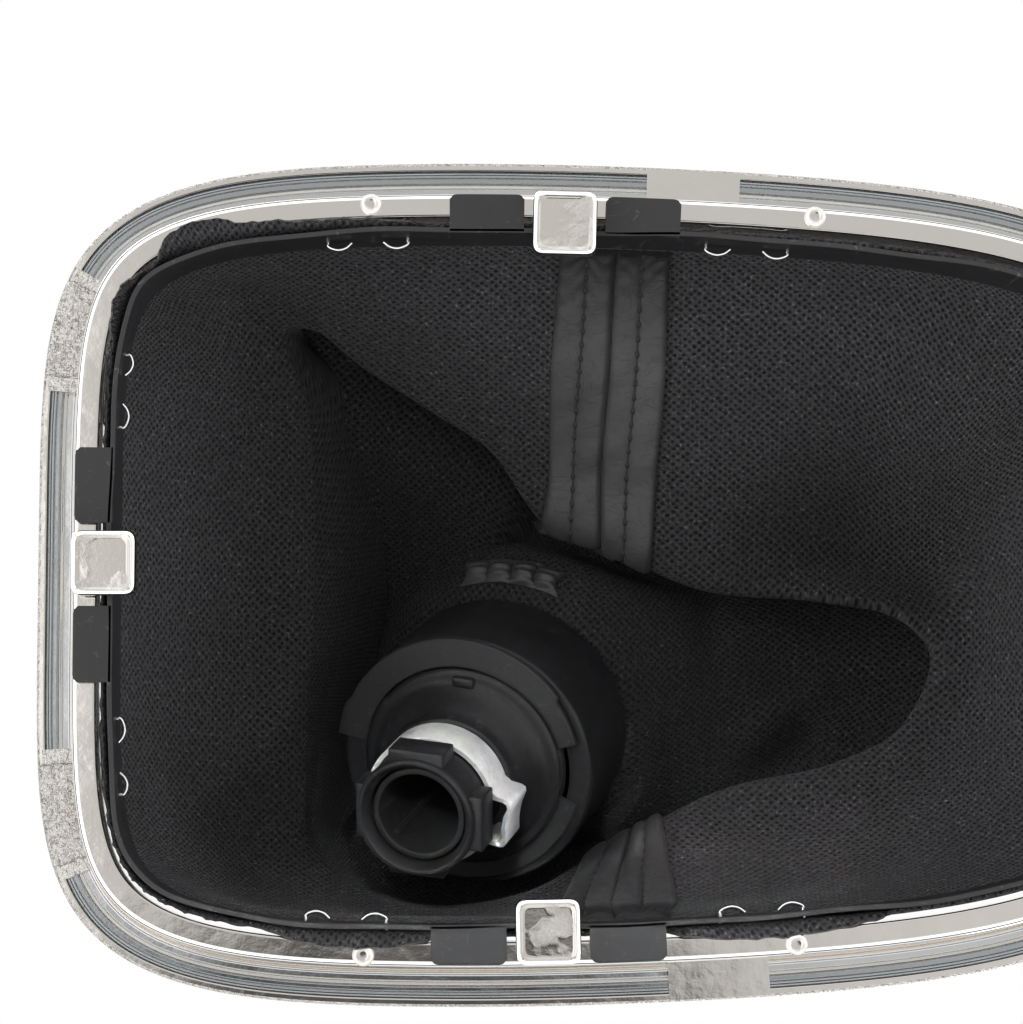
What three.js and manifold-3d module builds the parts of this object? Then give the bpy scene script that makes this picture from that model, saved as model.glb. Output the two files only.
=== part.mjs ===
// Gear knob with its gaiter, the black carrier frame that the gaiter is stapled to, and the
// chromed trim frame that clips into the console. Millimetres, +Z up, the trim frame at the bottom.
// The origin is under the middle of the trim frame, at the tips of its hooks. The wide end of the
// frame points to -X. The knob leans, as it does when no lever holds it up.
import * as THREE from "three";
import { mergeVertices } from "three/addons/utils/BufferGeometryUtils.js";
import Module from "manifold-3d";

const wasm = await Module();
wasm.setup();

// Trim frame: outline seen from above
const frameLength = 176;
const frameWidth = 126; // at the widest place
const narrowing = 9; // how much less half-width the narrow end has
const widestX = -28;
const cornerPower = 4.9; // exponent of the rounded-rectangle curve
const ringSteps = 56;
const crowding = 34; // millimetres of straight outline that one radian of corner counts for

// Trim frame: section, as distances inwards from the outline and heights
const rimWall = 1.3;
const grooveStep = 2.9;
const ledgeOuter = 6;
const ledgeInner = 9.7;
const ledgeZ = 5;
const rimZ = 13;
const stepZ = 14.1;
const roofZ = 15.2;
const crownZ = 18.5;

// Hooks of the trim frame that hold the carrier frame
const hookSize = 9.4;
const hookHead = 2.6;
const hookCorner = 1.2;
const hookBevel = 0.4;
const hookPlaces = [
  [-9.5, -57],
  [-12.1, 57],
  [-82, -1.4],
  [82, 0],
];

// Pads that fill the groove, as two points of the outline each
const padPlaces = [
  [2.6, -61, 16.9, -60.5],
  [5.8, 61, 20.6, 60.5],
  [-83.5, -47.5, -87.3, -28.5],
  [-86.8, 25.2, -83.5, 44.4],
  [83.5, -40, 87.3, -24],
  [87.3, 24, 83.5, 40],
];
const padDrop = 0.3; // how far a pad stands below the rim
const padInset = 0.25;

// Round moulding marks on the ledge
const markPlaces = [
  [-38.3, -56],
  [27.5, -54],
  [-39, 56],
  [23.9, 54],
];
const markRadius = 1.65;
const markHeight = 0.2;

// Carrier frame: wall and feet
const clearance = 0.3;
const wallOuter = 11.5;
const wallThickness = 1.3;
const wallBottomZ = 3.2;
const wallTopZ = 15;
const footOuter = 6.5;
const footThickness = 1.6;
const footLength = 11.2;
const footFromHook = 11.7;

// Staples
const wireSize = 0.45;
const wireGap = 0.15;
const staplePlaces = [
  [-39.1, -57],
  [18, -57],
  [-42, 57],
  [19.6, 57],
  [-82, -28.5],
  [-82, 26.9],
  [82, -25],
  [82, 25],
];
const stapleZ = 8.6;
const stapleWidth = 12.4;
const clinchWidth = 3.7;
const clinchDepth = 1.5;

// Gaiter
const hemOffset = 10.9;
const hemThickness = 0.7;
const leatherThickness = 1.3;
const hemBottomZ = 5.6;
const rollShare = 0.42; // of the way from the roll's edge to the collar
const gripGap = 3; // between the folded leather and the grip

// Seam strips inside the gaiter
const stripWidth = 16;
const stripThickness = 0.9;
const stripFirstRow = 3;
const stripGap = 0.5;
const stripReach = 1.9; // columns of the gaiter to each side, at most
const stripPlaces = {
  seam_strip_front: { place: [-2.6, -52], lastRow: 11 },
  seam_strip_back: { place: [-2.6, 52], lastRow: 11 },
};

// Knob: where it sits, and its lean
const knobSeat = new THREE.Vector3(-18.5, 19, 62);
const knobLean = 29.5;
const knobLeanTowards = -50;

// Knob: sizes along its own axis, 0 where the gaiter is clamped, plus towards the top
const collarRadius = 20.6;
const collarWall = 1.4;
const collarLength = 19;
const gaiterSlot = leatherThickness + 2 * clearance;
const discRadius = 16.2;
const discZ = -21.6;
const discThickness = 3.4;
const neckRadius = 9.2;
const neckEndZ = -43.4;
const boreRadius = 7.7;
const boreTopZ = -8;
const clampWidth = 7.2;
const clampTopZ = -29;
const clampThickness = 0.8;
const earHeight = 2.6;
const earWidth = 9.4;
const earAngle = 10; // round the axis, from the knob's own +X
const neckLipHeight = 1.3;
const neckLipWidth = 8.8;
const bushWall = 1;
const bushEndZ = -41.4;
const clipInner = 15.6;
const clipOuter = 20.2;
const clipThickness = 1.2;
const clipShift = 0.8; // how far the clip stands proud on the side that it slides in from
const postRadius = 11;
const baseRingHeight = 4.4;
const gripBottomZ = gaiterSlot + baseRingHeight + clearance;
const gripTopZ = 53.5;
const capRingHeight = 2.2;
const capRadius = 16.8;
const capHeight = 5;

const turn = Math.PI * 2;
const degree = Math.PI / 180;

function material(colour, roughness, metalness = 0) {
  return new THREE.MeshStandardMaterial({ color: colour, roughness, metalness });
}
const chrome = material(0xd9d7d2, 0.12, 1);
const blackPlastic = material(0x1d1d1f, 0.55);
const leather = material(0x17171a, 0.7);
const stripLeather = material(0x232325, 0.5);
const zincSteel = material(0xc4c6c4, 0.45, 1);
const stapleSteel = material(0xdcdcdc, 0.3, 1);
const rubber = material(0x141415, 0.8);

function toSolid(geometry) {
  const bare = geometry.clone();
  bare.deleteAttribute("normal");
  bare.deleteAttribute("uv");
  const merged = mergeVertices(bare, 1e-4);
  return new wasm.Manifold(
    new wasm.Mesh({
      numProp: 3,
      vertProperties: new Float32Array(merged.attributes.position.array),
      triVerts: new Uint32Array(merged.index.array),
    }),
  );
}

function toGeometry(solid) {
  const mesh = solid.getMesh();
  const geometry = new THREE.BufferGeometry();
  geometry.setAttribute("position", new THREE.BufferAttribute(mesh.vertProperties, 3));
  geometry.setIndex(new THREE.BufferAttribute(mesh.triVerts, 1));
  geometry.computeVertexNormals();
  return geometry;
}

function join(geometries) {
  return geometries.map(toSolid).reduce((all, next) => all.add(next));
}

function gridGeometry(points, triangles) {
  const geometry = new THREE.BufferGeometry().setFromPoints(points);
  geometry.setIndex(triangles);
  return geometry;
}

// The outline is a rounded rectangle that narrows towards +X
function outlinePoint(angle) {
  const power = 2 / cornerPower;
  const c = Math.cos(angle);
  const s = Math.sin(angle);
  const x = (frameLength / 2) * Math.sign(c) * Math.abs(c) ** power;
  const past = Math.max(0, x - widestX) / (frameLength / 2 - widestX);
  const halfWidth = frameWidth / 2 - narrowing * past ** 2;
  return new THREE.Vector2(x, halfWidth * Math.sign(s) * Math.abs(s) ** power);
}

const traceSteps = 6000;
const trace = [];
let traceLength = 0;
for (let i = 0; i <= traceSteps; i++) {
  // A smoothed angle keeps the traced points close together at the middle of each side
  const share = i / traceSteps;
  const angle = share * turn - 0.22 * Math.sin(4 * share * turn);
  const point = outlinePoint(angle);
  if (i) traceLength += point.distanceTo(trace[i - 1].point);
  trace.push({ point, distance: traceLength });
}

function tracedPoint(distance) {
  const wanted = ((distance % traceLength) + traceLength) % traceLength;
  let low = 0;
  let high = traceSteps;
  while (high - low > 1) {
    const middle = (low + high) >> 1;
    if (trace[middle].distance > wanted) high = middle;
    else low = middle;
  }
  const span = trace[high].distance - trace[low].distance || 1;
  return trace[low].point.clone().lerp(trace[high].point, (wanted - trace[low].distance) / span);
}

// A station is a point of the outline with its tangent and its inward normal
function stationAt(distance) {
  const reach = 1.5;
  const point = tracedPoint(distance);
  const along = tracedPoint(distance + reach).sub(tracedPoint(distance - reach)).normalize();
  return { point, along, inward: new THREE.Vector2(-along.y, along.x), distance };
}

function distanceNear(x, y) {
  const goal = new THREE.Vector2(x, y);
  return trace.reduce((best, next) =>
    next.point.distanceTo(goal) < best.point.distanceTo(goal) ? next : best,
  ).distance;
}

function insetPoint(station, inset, z) {
  const flat = station.point.clone().addScaledVector(station.inward, inset);
  return new THREE.Vector3(flat.x, flat.y, z);
}

// The stations of a full turn stand closer together where the outline turns more
function spreadStations() {
  const walk = 2;
  const count = Math.round(traceLength / walk);
  const loads = [0];
  for (let i = 1; i <= count; i++) {
    const before = stationAt(((i - 1) / count) * traceLength).along;
    const after = stationAt((i / count) * traceLength).along;
    const angle = Math.acos(Math.min(1, before.dot(after)));
    loads.push(loads[i - 1] + traceLength / count + crowding * angle);
  }
  return Array.from({ length: ringSteps }, (_, i) => {
    const goal = (i / ringSteps) * loads[count];
    const index = loads.findLastIndex((load) => load <= goal);
    const part = (goal - loads[index]) / (loads[index + 1] - loads[index]);
    return stationAt(((index + part) / count) * traceLength);
  });
}
const ringStations = spreadStations();

// Sweeps a section, given as [inset, z] points, along stations: all the way round or as a piece
function sweep(section, stations, closed) {
  const points = stations.flatMap((station) => section.map(([o, z]) => insetPoint(station, o, z)));
  const size = section.length;
  const triangles = [];
  const spans = closed ? stations.length : stations.length - 1;
  for (let i = 0; i < spans; i++) {
    const here = i * size;
    const there = ((i + 1) % stations.length) * size;
    for (let j = 0; j < size; j++) {
      const next = (j + 1) % size;
      triangles.push(here + j, there + j, there + next, here + j, there + next, here + next);
    }
  }
  if (!closed) {
    const flat = section.map(([o, z]) => new THREE.Vector2(o, z));
    const last = spans * size;
    for (const [a, b, c] of THREE.ShapeUtils.triangulateShape(flat, [])) {
      triangles.push(a, c, b, last + a, last + b, last + c);
    }
  }
  return gridGeometry(points, triangles);
}

function sweepPiece(section, from, to, steps) {
  const stations = Array.from({ length: steps + 1 }, (_, i) =>
    stationAt(from + ((to - from) * i) / steps),
  );
  return sweep(section, stations, false);
}

// Puts a geometry made at the origin, x along the frame and y inwards, at a station
function placeAtStation(geometry, station, inset, z) {
  const along = new THREE.Vector3(station.along.x, station.along.y, 0);
  const inward = new THREE.Vector3(station.inward.x, station.inward.y, 0);
  const basis = new THREE.Matrix4().makeBasis(along, inward, new THREE.Vector3(0, 0, 1));
  basis.setPosition(insetPoint(station, inset, z));
  return geometry.applyMatrix4(basis);
}

function roundedRectangle(width, depth, radius) {
  const shape = new THREE.Shape();
  const x = width / 2 - radius;
  const y = depth / 2 - radius;
  shape.absarc(x, y, radius, 0, turn / 4);
  shape.absarc(-x, y, radius, turn / 4, turn / 2);
  shape.absarc(-x, -y, radius, turn / 2, (turn * 3) / 4);
  shape.absarc(x, -y, radius, (turn * 3) / 4, turn);
  return shape;
}

function block(width, depth, height) {
  return new THREE.BoxGeometry(width, depth, height);
}

function hookGeometries(place) {
  const station = stationAt(distanceNear(...place));
  const face = roundedRectangle(hookSize - 2 * hookBevel, hookSize - 2 * hookBevel, hookCorner);
  const head = new THREE.ExtrudeGeometry(face, {
    depth: hookHead - 2 * hookBevel,
    bevelThickness: hookBevel,
    bevelSize: hookBevel,
    bevelSegments: 1,
    curveSegments: 2,
  });
  const postDepth = ledgeInner - ledgeOuter - 0.8;
  const post = block(hookSize - 1, postDepth, ledgeZ);
  return [
    placeAtStation(head, station, ledgeOuter + 0.5 + hookSize / 2, hookBevel),
    placeAtStation(post, station, ledgeOuter + 0.6 + postDepth / 2, 1 + ledgeZ / 2),
  ];
}

function padGeometry([x1, y1, x2, y2]) {
  const section = [
    [padInset, rimZ - padDrop],
    [padInset, roofZ + 0.6],
    [ledgeOuter + 0.5, roofZ + 0.6],
    [ledgeOuter + 0.5, rimZ - padDrop],
  ];
  const from = distanceNear(x1, y1);
  const to = distanceNear(x2, y2);
  return sweepPiece(section, Math.min(from, to), Math.max(from, to), 4);
}

function markGeometry(place) {
  const station = stationAt(distanceNear(...place));
  const disc = new THREE.CylinderGeometry(markRadius, markRadius, 2 * markHeight, 12);
  disc.rotateX(turn / 4);
  return placeAtStation(disc, station, (ledgeOuter + ledgeInner) / 2 - 0.2, ledgeZ);
}

function trimFrame() {
  const section = [
    [0, rimZ],
    [0, rimZ + 1.8],
    [0.7, crownZ - 1.8],
    [2.2, crownZ - 0.6],
    [4.6, crownZ],
    [7.6, crownZ - 0.4],
    [9.3, crownZ - 1.4],
    [ledgeInner, crownZ - 2.7],
    [ledgeInner, ledgeZ],
    [ledgeOuter + 0.5, ledgeZ],
    [ledgeOuter, ledgeZ + 0.5],
    [ledgeOuter, roofZ],
    [grooveStep, roofZ],
    [grooveStep, stepZ],
    [rimWall, stepZ],
    [rimWall, rimZ],
  ];
  return join([
    sweep(section, ringStations, true),
    ...padPlaces.map(padGeometry),
    ...hookPlaces.flatMap(hookGeometries),
    ...markPlaces.map(markGeometry),
  ]);
}

// The staple's wire, from one clinched tip round the crown to the other
function staplePath(station) {
  const half = stapleWidth / 2;
  const crown = hemOffset - hemThickness / 2 - wireSize / 2 - wireGap;
  const inside = wallOuter + wallThickness + wireGap + wireSize / 2;
  const side = (sign) => [
    [sign * (half - clinchWidth), inside],
    [sign * (half - clinchWidth * 0.75), inside + clinchDepth * 0.75],
    [sign * (half - clinchWidth * 0.4), inside + clinchDepth],
    [sign * half, inside + clinchDepth * 0.35],
    [sign * half, inside - 0.3],
    [sign * half, crown + 0.5],
    [sign * (half - 0.5), crown],
  ];
  const wire = [...side(-1), [-half / 3, crown], [half / 3, crown], ...side(1).reverse()];
  return wire.map(([along, inset]) =>
    insetPoint(stationAt(station.distance + along), inset, stapleZ),
  );
}

function stapleGeometry(station) {
  const half = wireSize / 2;
  const section = new THREE.Shape([
    new THREE.Vector2(-half, -half),
    new THREE.Vector2(half, -half),
    new THREE.Vector2(half, half),
    new THREE.Vector2(-half, half),
  ]);
  const path = new THREE.CatmullRomCurve3(staplePath(station), false, "centripetal");
  return new THREE.ExtrudeGeometry(section, { steps: 17, extrudePath: path, bevelEnabled: false });
}

const stapleStations = staplePlaces.map((place) => stationAt(distanceNear(...place)));

// One slot for each staple leg, through the wall and the hem
function stapleSlots() {
  const size = wireSize + 2 * clearance;
  const depth = wallOuter + wallThickness - hemOffset + hemThickness + 2;
  return stapleStations
    .flatMap((station) =>
      [-1, 1].map((sign) => {
        const leg = stationAt(station.distance + (sign * stapleWidth) / 2);
        const inset = hemOffset - hemThickness + depth / 2;
        return placeAtStation(block(size, depth, size), leg, inset, stapleZ);
      }),
    )
    .map(toSolid)
    .reduce((all, next) => all.add(next));
}

function carrierFrame(slots) {
  const wall = [
    [wallOuter, wallBottomZ],
    [wallOuter, wallTopZ],
    [wallOuter + wallThickness, wallTopZ],
    [wallOuter + wallThickness, wallBottomZ],
  ];
  const foot = [
    [footOuter, wallBottomZ],
    [footOuter, wallBottomZ + footThickness],
    [wallOuter + wallThickness / 2, wallBottomZ + footThickness],
    [wallOuter + wallThickness / 2, wallBottomZ],
  ];
  const feet = hookPlaces.flatMap((place) => {
    const middle = distanceNear(...place);
    return [-1, 1].map((side) => {
      const centre = middle + side * footFromHook;
      return sweepPiece(foot, centre - footLength / 2, centre + footLength / 2, 3);
    });
  });
  return join([sweep(wall, ringStations, true), ...feet]).subtract(slots);
}

// The knob's own axes
const lean = knobLean * degree;
const towards = knobLeanTowards * degree;
const knobUp = new THREE.Vector3(
  Math.sin(lean) * Math.cos(towards),
  Math.sin(lean) * Math.sin(towards),
  Math.cos(lean),
);
const knobX = new THREE.Vector3(1, 0, 0).addScaledVector(knobUp, -knobUp.x).normalize();
const knobY = knobUp.clone().cross(knobX);

function knobPoint(angle, radius, height) {
  return knobSeat
    .clone()
    .addScaledVector(knobX, radius * Math.cos(angle))
    .addScaledVector(knobY, radius * Math.sin(angle))
    .addScaledVector(knobUp, height);
}

// The grip's outline: radius and height up the knob's axis
const gripOutline = [
  [18.4, gripBottomZ],
  [17.6, 12],
  [18.6, 18],
  [21.4, 26],
  [24, 34],
  [24.9, 40],
  [24.2, 46],
  [21.6, 51],
  [18.6, gripTopZ],
];

function gripRadiusAt(height) {
  if (height <= gripOutline[0][1]) return collarRadius;
  for (let i = 1; i < gripOutline.length; i++) {
    const [r1, z1] = gripOutline[i - 1];
    const [r2, z2] = gripOutline[i];
    if (height <= z2) return r1 + ((r2 - r1) * (height - z1)) / (z2 - z1);
  }
  return capRadius;
}

// Keeps a point of the gaiter clear of the knob
function clearOfKnob(point) {
  const from = point.clone().sub(knobSeat);
  const height = from.dot(knobUp);
  const outwards = from.addScaledVector(knobUp, -height);
  const least = gripRadiusAt(height) + leatherThickness + gripGap;
  if (outwards.length() < least) {
    point.addScaledVector(outwards.clone().normalize(), least - outwards.length());
  }
  return point;
}

// How the leather falls, as columns round the frame. Each has its place round the outline as a
// share of one turn, the points that it passes on the side, on the shoulder and at the crease,
// and its roll above the crease: how far out, how high, and how much its top is lifted.
const columns = [
  { at: 0, side: [64, 2, 34], shoulder: [57, 4, 48],
    crease: [50, 9, 50], roll: [6.5, 14, 8.5] },
  { at: 0.06, side: [62, 24, 36], shoulder: [53, 22, 46],
    crease: [45, 21, 50], roll: [6.5, 14, 8.5] },
  { at: 0.12, side: [52, 38, 34], shoulder: [44, 32, 44],
    crease: [34, 27, 50], roll: [6, 14, 8] },
  { at: 0.2, side: [30, 45, 34], shoulder: [25, 38, 45],
    crease: [17, 31, 51], roll: [6, 14, 8] },
  { at: 0.25, side: [-3, 49.5, 32], shoulder: [-1, 44.5, 43],
    crease: [2, 38, 52], roll: [6, 12, 6] },
  { at: 0.285, side: [-20, 51, 33], shoulder: [-19, 50, 43],
    crease: [-17, 48, 53], roll: [2, 12, 5] },
  { at: 0.32, side: [-35, 51, 33], shoulder: [-37, 51, 44],
    crease: [-38, 48.5, 56], roll: [-1, 13, 5] },
  { at: 0.39, side: [-61, 47, 33], shoulder: [-57, 44, 43],
    crease: [-50, 40, 51], roll: [-6, 16, 5] },
  { at: 0.445, side: [-69, 30, 33], shoulder: [-61, 29, 42.5],
    crease: [-51, 27, 50], roll: [-7, 18, 6] },
  { at: 0.5, side: [-69, 2, 32], shoulder: [-60, 3, 42.5],
    crease: [-50, 5, 48.5], roll: [-8, 19, 6] },
  { at: 0.55, side: [-69, -24, 32], shoulder: [-60, -20, 42.5],
    crease: [-49, -14, 49], roll: [-8, 19, 5] },
  { at: 0.59, side: [-66, -40, 32], shoulder: [-58, -35, 42],
    crease: [-48, -29, 49], roll: [-3, 14, 2] },
  { at: 0.615, side: [-61, -47, 30], shoulder: [-54, -43, 38],
    crease: [-47, -39, 43], roll: [4, 13, -1] },
  { at: 0.64, side: [-53, -47, 29], shoulder: [-45, -41, 38],
    crease: [-39.5, -36, 44], roll: [6, 13, -3] },
  { at: 0.665, side: [-43, -45, 28], shoulder: [-34, -37, 38],
    crease: [-30, -30, 46], roll: [7, 13, -3] },
  { at: 0.69, side: [-31, -43, 29], shoulder: [-24, -33, 39],
    crease: [-20, -23.5, 48.5], roll: [8, 13, -2] },
  { at: 0.715, side: [-17, -38, 31], shoulder: [-13.5, -24, 43],
    crease: [-12, -12.5, 50], roll: [6.5, 14, 5] },
  { at: 0.747, side: [-4, -34, 32], shoulder: [-4, -20, 43],
    crease: [-3, -9, 50], roll: [6.5, 14, 6] },
  { at: 0.81, side: [22, -30, 33], shoulder: [17, -15, 43],
    crease: [13, -2, 50], roll: [6.5, 14, 8.5] },
  { at: 0.87, side: [46, -28, 36], shoulder: [39, -8, 55.5],
    crease: [32, 0, 50], roll: [6.5, 14, 8.5] },
  { at: 0.94, side: [62, -17, 38], shoulder: [52, -3, 56],
    crease: [45, 3, 50.5], roll: [6.5, 14, 8.5] },
];

function loopThrough(name) {
  const points = columns.map((column) => new THREE.Vector3(...column[name]));
  const loop = new THREE.CatmullRomCurve3(points, true, "centripetal");
  return (share) => {
    const index = columns.findLastIndex((column) => column.at <= share);
    const end = index + 1 < columns.length ? columns[index + 1].at : 1;
    const part = (share - columns[index].at) / (end - columns[index].at);
    return loop.getPoint((index + part) / columns.length);
  };
}
const sideLoop = loopThrough("side");
const shoulderLoop = loopThrough("shoulder");
const creaseLoop = loopThrough("crease");

// The roll at a share of one turn, eased from column to column
function rollAt(share) {
  const index = columns.findLastIndex((column) => column.at <= share);
  const next = columns[index + 1] ?? { ...columns[0], at: 1 };
  const part = (share - columns[index].at) / (next.at - columns[index].at);
  const eased = part * part * (3 - 2 * part);
  return columns[index].roll.map((size, i) => size + (next.roll[i] - size) * eased);
}

// The curve that the leather follows from the hem to the collar
function gaiterColumn(station) {
  const share = station.distance / traceLength;
  const angle = share * turn;
  const crease = creaseLoop(share);
  const reach = 0.02;
  const tangent = creaseLoop((share + reach) % 1).sub(creaseLoop((share + 1 - reach) % 1));
  const outwards = new THREE.Vector3(tangent.y, -tangent.x, 0).normalize();
  const folds = Math.sin(3 * angle + 1) + 0.5 * Math.sin(5 * angle);
  const [rollOut, rollRise, rollLift] = rollAt(share);
  const roll = crease.clone().addScaledVector(outwards, rollOut + folds);
  roll.z += rollRise;
  const collarEdge = knobPoint(angle, collarRadius + 1, gaiterSlot);
  const rollTop = roll.clone().lerp(collarEdge, rollShare);
  rollTop.z += rollLift + 1.5 * folds;
  return new THREE.CatmullRomCurve3(
    [
      insetPoint(station, hemOffset, hemBottomZ),
      insetPoint(station, hemOffset, (hemBottomZ + wallTopZ) / 2),
      insetPoint(station, hemOffset, wallTopZ - 0.4),
      insetPoint(station, hemOffset + 1.4, wallTopZ + 4.5),
      sideLoop(share),
      shoulderLoop(share),
      crease,
      roll,
      clearOfKnob(rollTop),
      knobPoint(angle, collarRadius + 5, 8),
      collarEdge,
      knobPoint(angle, collarRadius - 2, gaiterSlot / 2),
    ],
    false,
    "centripetal",
  );
}

const hemRows = 2; // curve points that belong to the hem
const curvePoints = 12;
const gaiterRows = 18;

function rowShare(row) {
  // The straight hem needs one row in each of its two spans, and the rest share the others
  if (row <= hemRows) return row / (curvePoints - 1);
  const rest = (row - hemRows) / (gaiterRows - 1 - hemRows);
  return (hemRows + rest * (curvePoints - 1 - hemRows)) / (curvePoints - 1);
}

// The leather's middle surface as columns of points, and the direction out of it at each point
function gaiterGrid() {
  const rows = Array.from({ length: gaiterRows }, (_, row) => rowShare(row));
  const middle = ringStations.map((station) => {
    const curve = gaiterColumn(station);
    return rows.map((row) => curve.getPoint(row));
  });
  const outwards = middle.map((column, i) =>
    column.map((_, j) => {
      const before = middle[(i + ringSteps - 1) % ringSteps][j];
      const after = middle[(i + 1) % ringSteps][j];
      const up = column[Math.min(gaiterRows - 1, j + 1)].clone().sub(column[Math.max(0, j - 1)]);
      return after.clone().sub(before).cross(up).normalize();
    }),
  );
  return { middle, outwards };
}
const grid = gaiterGrid();

function betweenColumns(table, column, row) {
  const from = Math.floor(column);
  return table[from][row].clone().lerp(table[from + 1][row], column - from);
}

function columnAt(distance) {
  const index = ringStations.findLastIndex((station) => station.distance <= distance);
  const from = ringStations[index].distance;
  return index + (distance - from) / (ringStations[index + 1].distance - from);
}

// A closed sheet between two distances out of the leather's middle surface
function sheetGeometry({ middle, outwards }, near, far, closed) {
  const columnsCount = middle.length;
  const rows = middle[0].length;
  const points = [];
  for (const distance of [near, far]) {
    middle.forEach((column, i) =>
      column.forEach((point, j) =>
        points.push(point.clone().addScaledVector(outwards[i][j], distance(j))),
      ),
    );
  }
  const layer = columnsCount * rows;
  const index = (side, i, j) => side * layer + (i % columnsCount) * rows + j;
  const triangles = [];
  const quad = (a, b, c, d) => triangles.push(a, b, c, a, c, d);
  const spans = closed ? columnsCount : columnsCount - 1;
  for (let i = 0; i < spans; i++) {
    for (let j = 0; j + 1 < rows; j++) {
      quad(index(1, i, j), index(1, i + 1, j), index(1, i + 1, j + 1), index(1, i, j + 1));
      quad(index(0, i, j), index(0, i, j + 1), index(0, i + 1, j + 1), index(0, i + 1, j));
    }
    const top = rows - 1;
    quad(index(0, i, 0), index(0, i + 1, 0), index(1, i + 1, 0), index(1, i, 0));
    quad(index(0, i, top), index(1, i, top), index(1, i + 1, top), index(0, i + 1, top));
  }
  if (!closed) {
    const last = columnsCount - 1;
    for (let j = 0; j + 1 < rows; j++) {
      quad(index(0, 0, j), index(1, 0, j), index(1, 0, j + 1), index(0, 0, j + 1));
      quad(index(0, last, j), index(0, last, j + 1), index(1, last, j + 1), index(1, last, j));
    }
  }
  return gridGeometry(points, triangles);
}

function gaiter(slots) {
  const half = (row) => (row <= hemRows ? hemThickness : leatherThickness) / 2;
  const sheet = sheetGeometry(grid, (row) => -half(row), half, true);
  return toSolid(sheet).subtract(slots);
}

// A strip keeps its width while the panels that it covers get narrower towards the knob
function seamStrip({ place, lastRow }) {
  const centre = columnAt(distanceNear(...place));
  const rows = Array.from({ length: lastRow - stripFirstRow + 1 }, (_, i) => stripFirstRow + i);
  const widthSteps = [-1, -0.67, -0.33, 0, 0.33, 0.67, 1];
  const piece = (table) =>
    widthSteps.map((step) =>
      rows.map((row) => {
        const here = betweenColumns(grid.middle, centre, row);
        const spacing = betweenColumns(grid.middle, centre + 1, row).distanceTo(here);
        const reach = Math.min(stripWidth / 2 / spacing, stripReach);
        return betweenColumns(table, centre + step * reach, row);
      }),
    );
  const far = -(leatherThickness / 2 + stripGap);
  const strip = { middle: piece(grid.middle), outwards: piece(grid.outwards) };
  return sheetGeometry(strip, () => far - stripThickness, () => far, false);
}

// Turned parts: outlines as [radius, height] points, closed on themselves or on the axis
function turned(outline, segments = 28) {
  return new THREE.LatheGeometry(
    outline.map(([radius, z]) => new THREE.Vector2(radius, z)),
    segments,
  ).rotateX(turn / 4);
}

function ringOutline(inner, outer, bottom, top) {
  return [
    [inner, bottom],
    [outer, bottom],
    [outer, top],
    [inner, top],
    [inner, bottom],
  ];
}

function aroundAxis(geometry, angle, radius, z) {
  return geometry.translate(radius, 0, z).rotateZ(angle);
}

function knobCore() {
  const bellTop = discZ + discThickness;
  const grooveTop = -collarLength;
  const grooveBottom = grooveTop - clipThickness - 2 * clearance;
  const grooveRadius = clipInner - clipShift - clearance;
  const body = turned([
    [boreRadius + 0.9, neckEndZ],
    [neckRadius, neckEndZ],
    [neckRadius + 0.3, neckEndZ + 0.6],
    [neckRadius, clampTopZ],
    [neckRadius + 1.4, clampTopZ + 0.4],
    [neckRadius + 1.7, clampTopZ + 2],
    [neckRadius + 3.8, discZ - 1.6],
    [discRadius - 0.6, discZ],
    [discRadius, discZ + 0.3],
    [discRadius, grooveBottom],
    [grooveRadius, grooveBottom],
    [grooveRadius, grooveTop],
    [discRadius, grooveTop],
    [discRadius, bellTop],
    [postRadius + 3, bellTop + 1],
    [postRadius, bellTop + 4],
    [postRadius, gripTopZ - 2],
    [0, gripTopZ - 2],
    [0, boreTopZ],
    [boreRadius, boreTopZ],
    [boreRadius, neckEndZ + 1.6],
    [boreRadius + 0.9, neckEndZ],
  ]);
  const lipLength = clampTopZ - clampWidth - neckEndZ - 1.2;
  const lips = [0, 90, 180, 270].map((angle) => {
    const lip = block(neckLipHeight + 1, neckLipWidth, lipLength);
    return aroundAxis(lip, angle * degree, neckRadius + 0.15, neckEndZ + 0.7 + lipLength / 2);
  });
  const gussets = [0, 90, 180, 270].map((angle) => {
    const web = new THREE.Shape();
    web.moveTo(neckRadius - 0.4, clampTopZ + 1);
    web.lineTo(discRadius - 1.2, discZ + 0.8);
    web.lineTo(neckRadius - 0.4, discZ + 0.8);
    const plate = new THREE.ExtrudeGeometry(web, { depth: 1.4, bevelEnabled: false });
    return plate.translate(0, 0, -0.7).rotateX(turn / 4).rotateZ((angle + 38) * degree);
  });
  const windows = [62, 242].map((angle) => {
    const window = block(3, 3.4, 5);
    return aroundAxis(window, angle * degree, neckRadius + 3.4, discZ - 2);
  });
  const boss = aroundAxis(block(1.6, 3.4, 1.8), 272 * degree, discRadius - 1.6, discZ);
  return join([body, boss, ...lips, ...gussets]).subtract(join(windows));
}

function leverBush() {
  const outer = boreRadius - clearance;
  const inner = outer - bushWall;
  const sleeve = turned(ringOutline(inner, outer, bushEndZ, boreTopZ - 0.4));
  const rib = aroundAxis(block(1.4, 0.9, 24), 135 * degree, inner, bushEndZ + 14);
  return join([sleeve, rib]);
}

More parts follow.
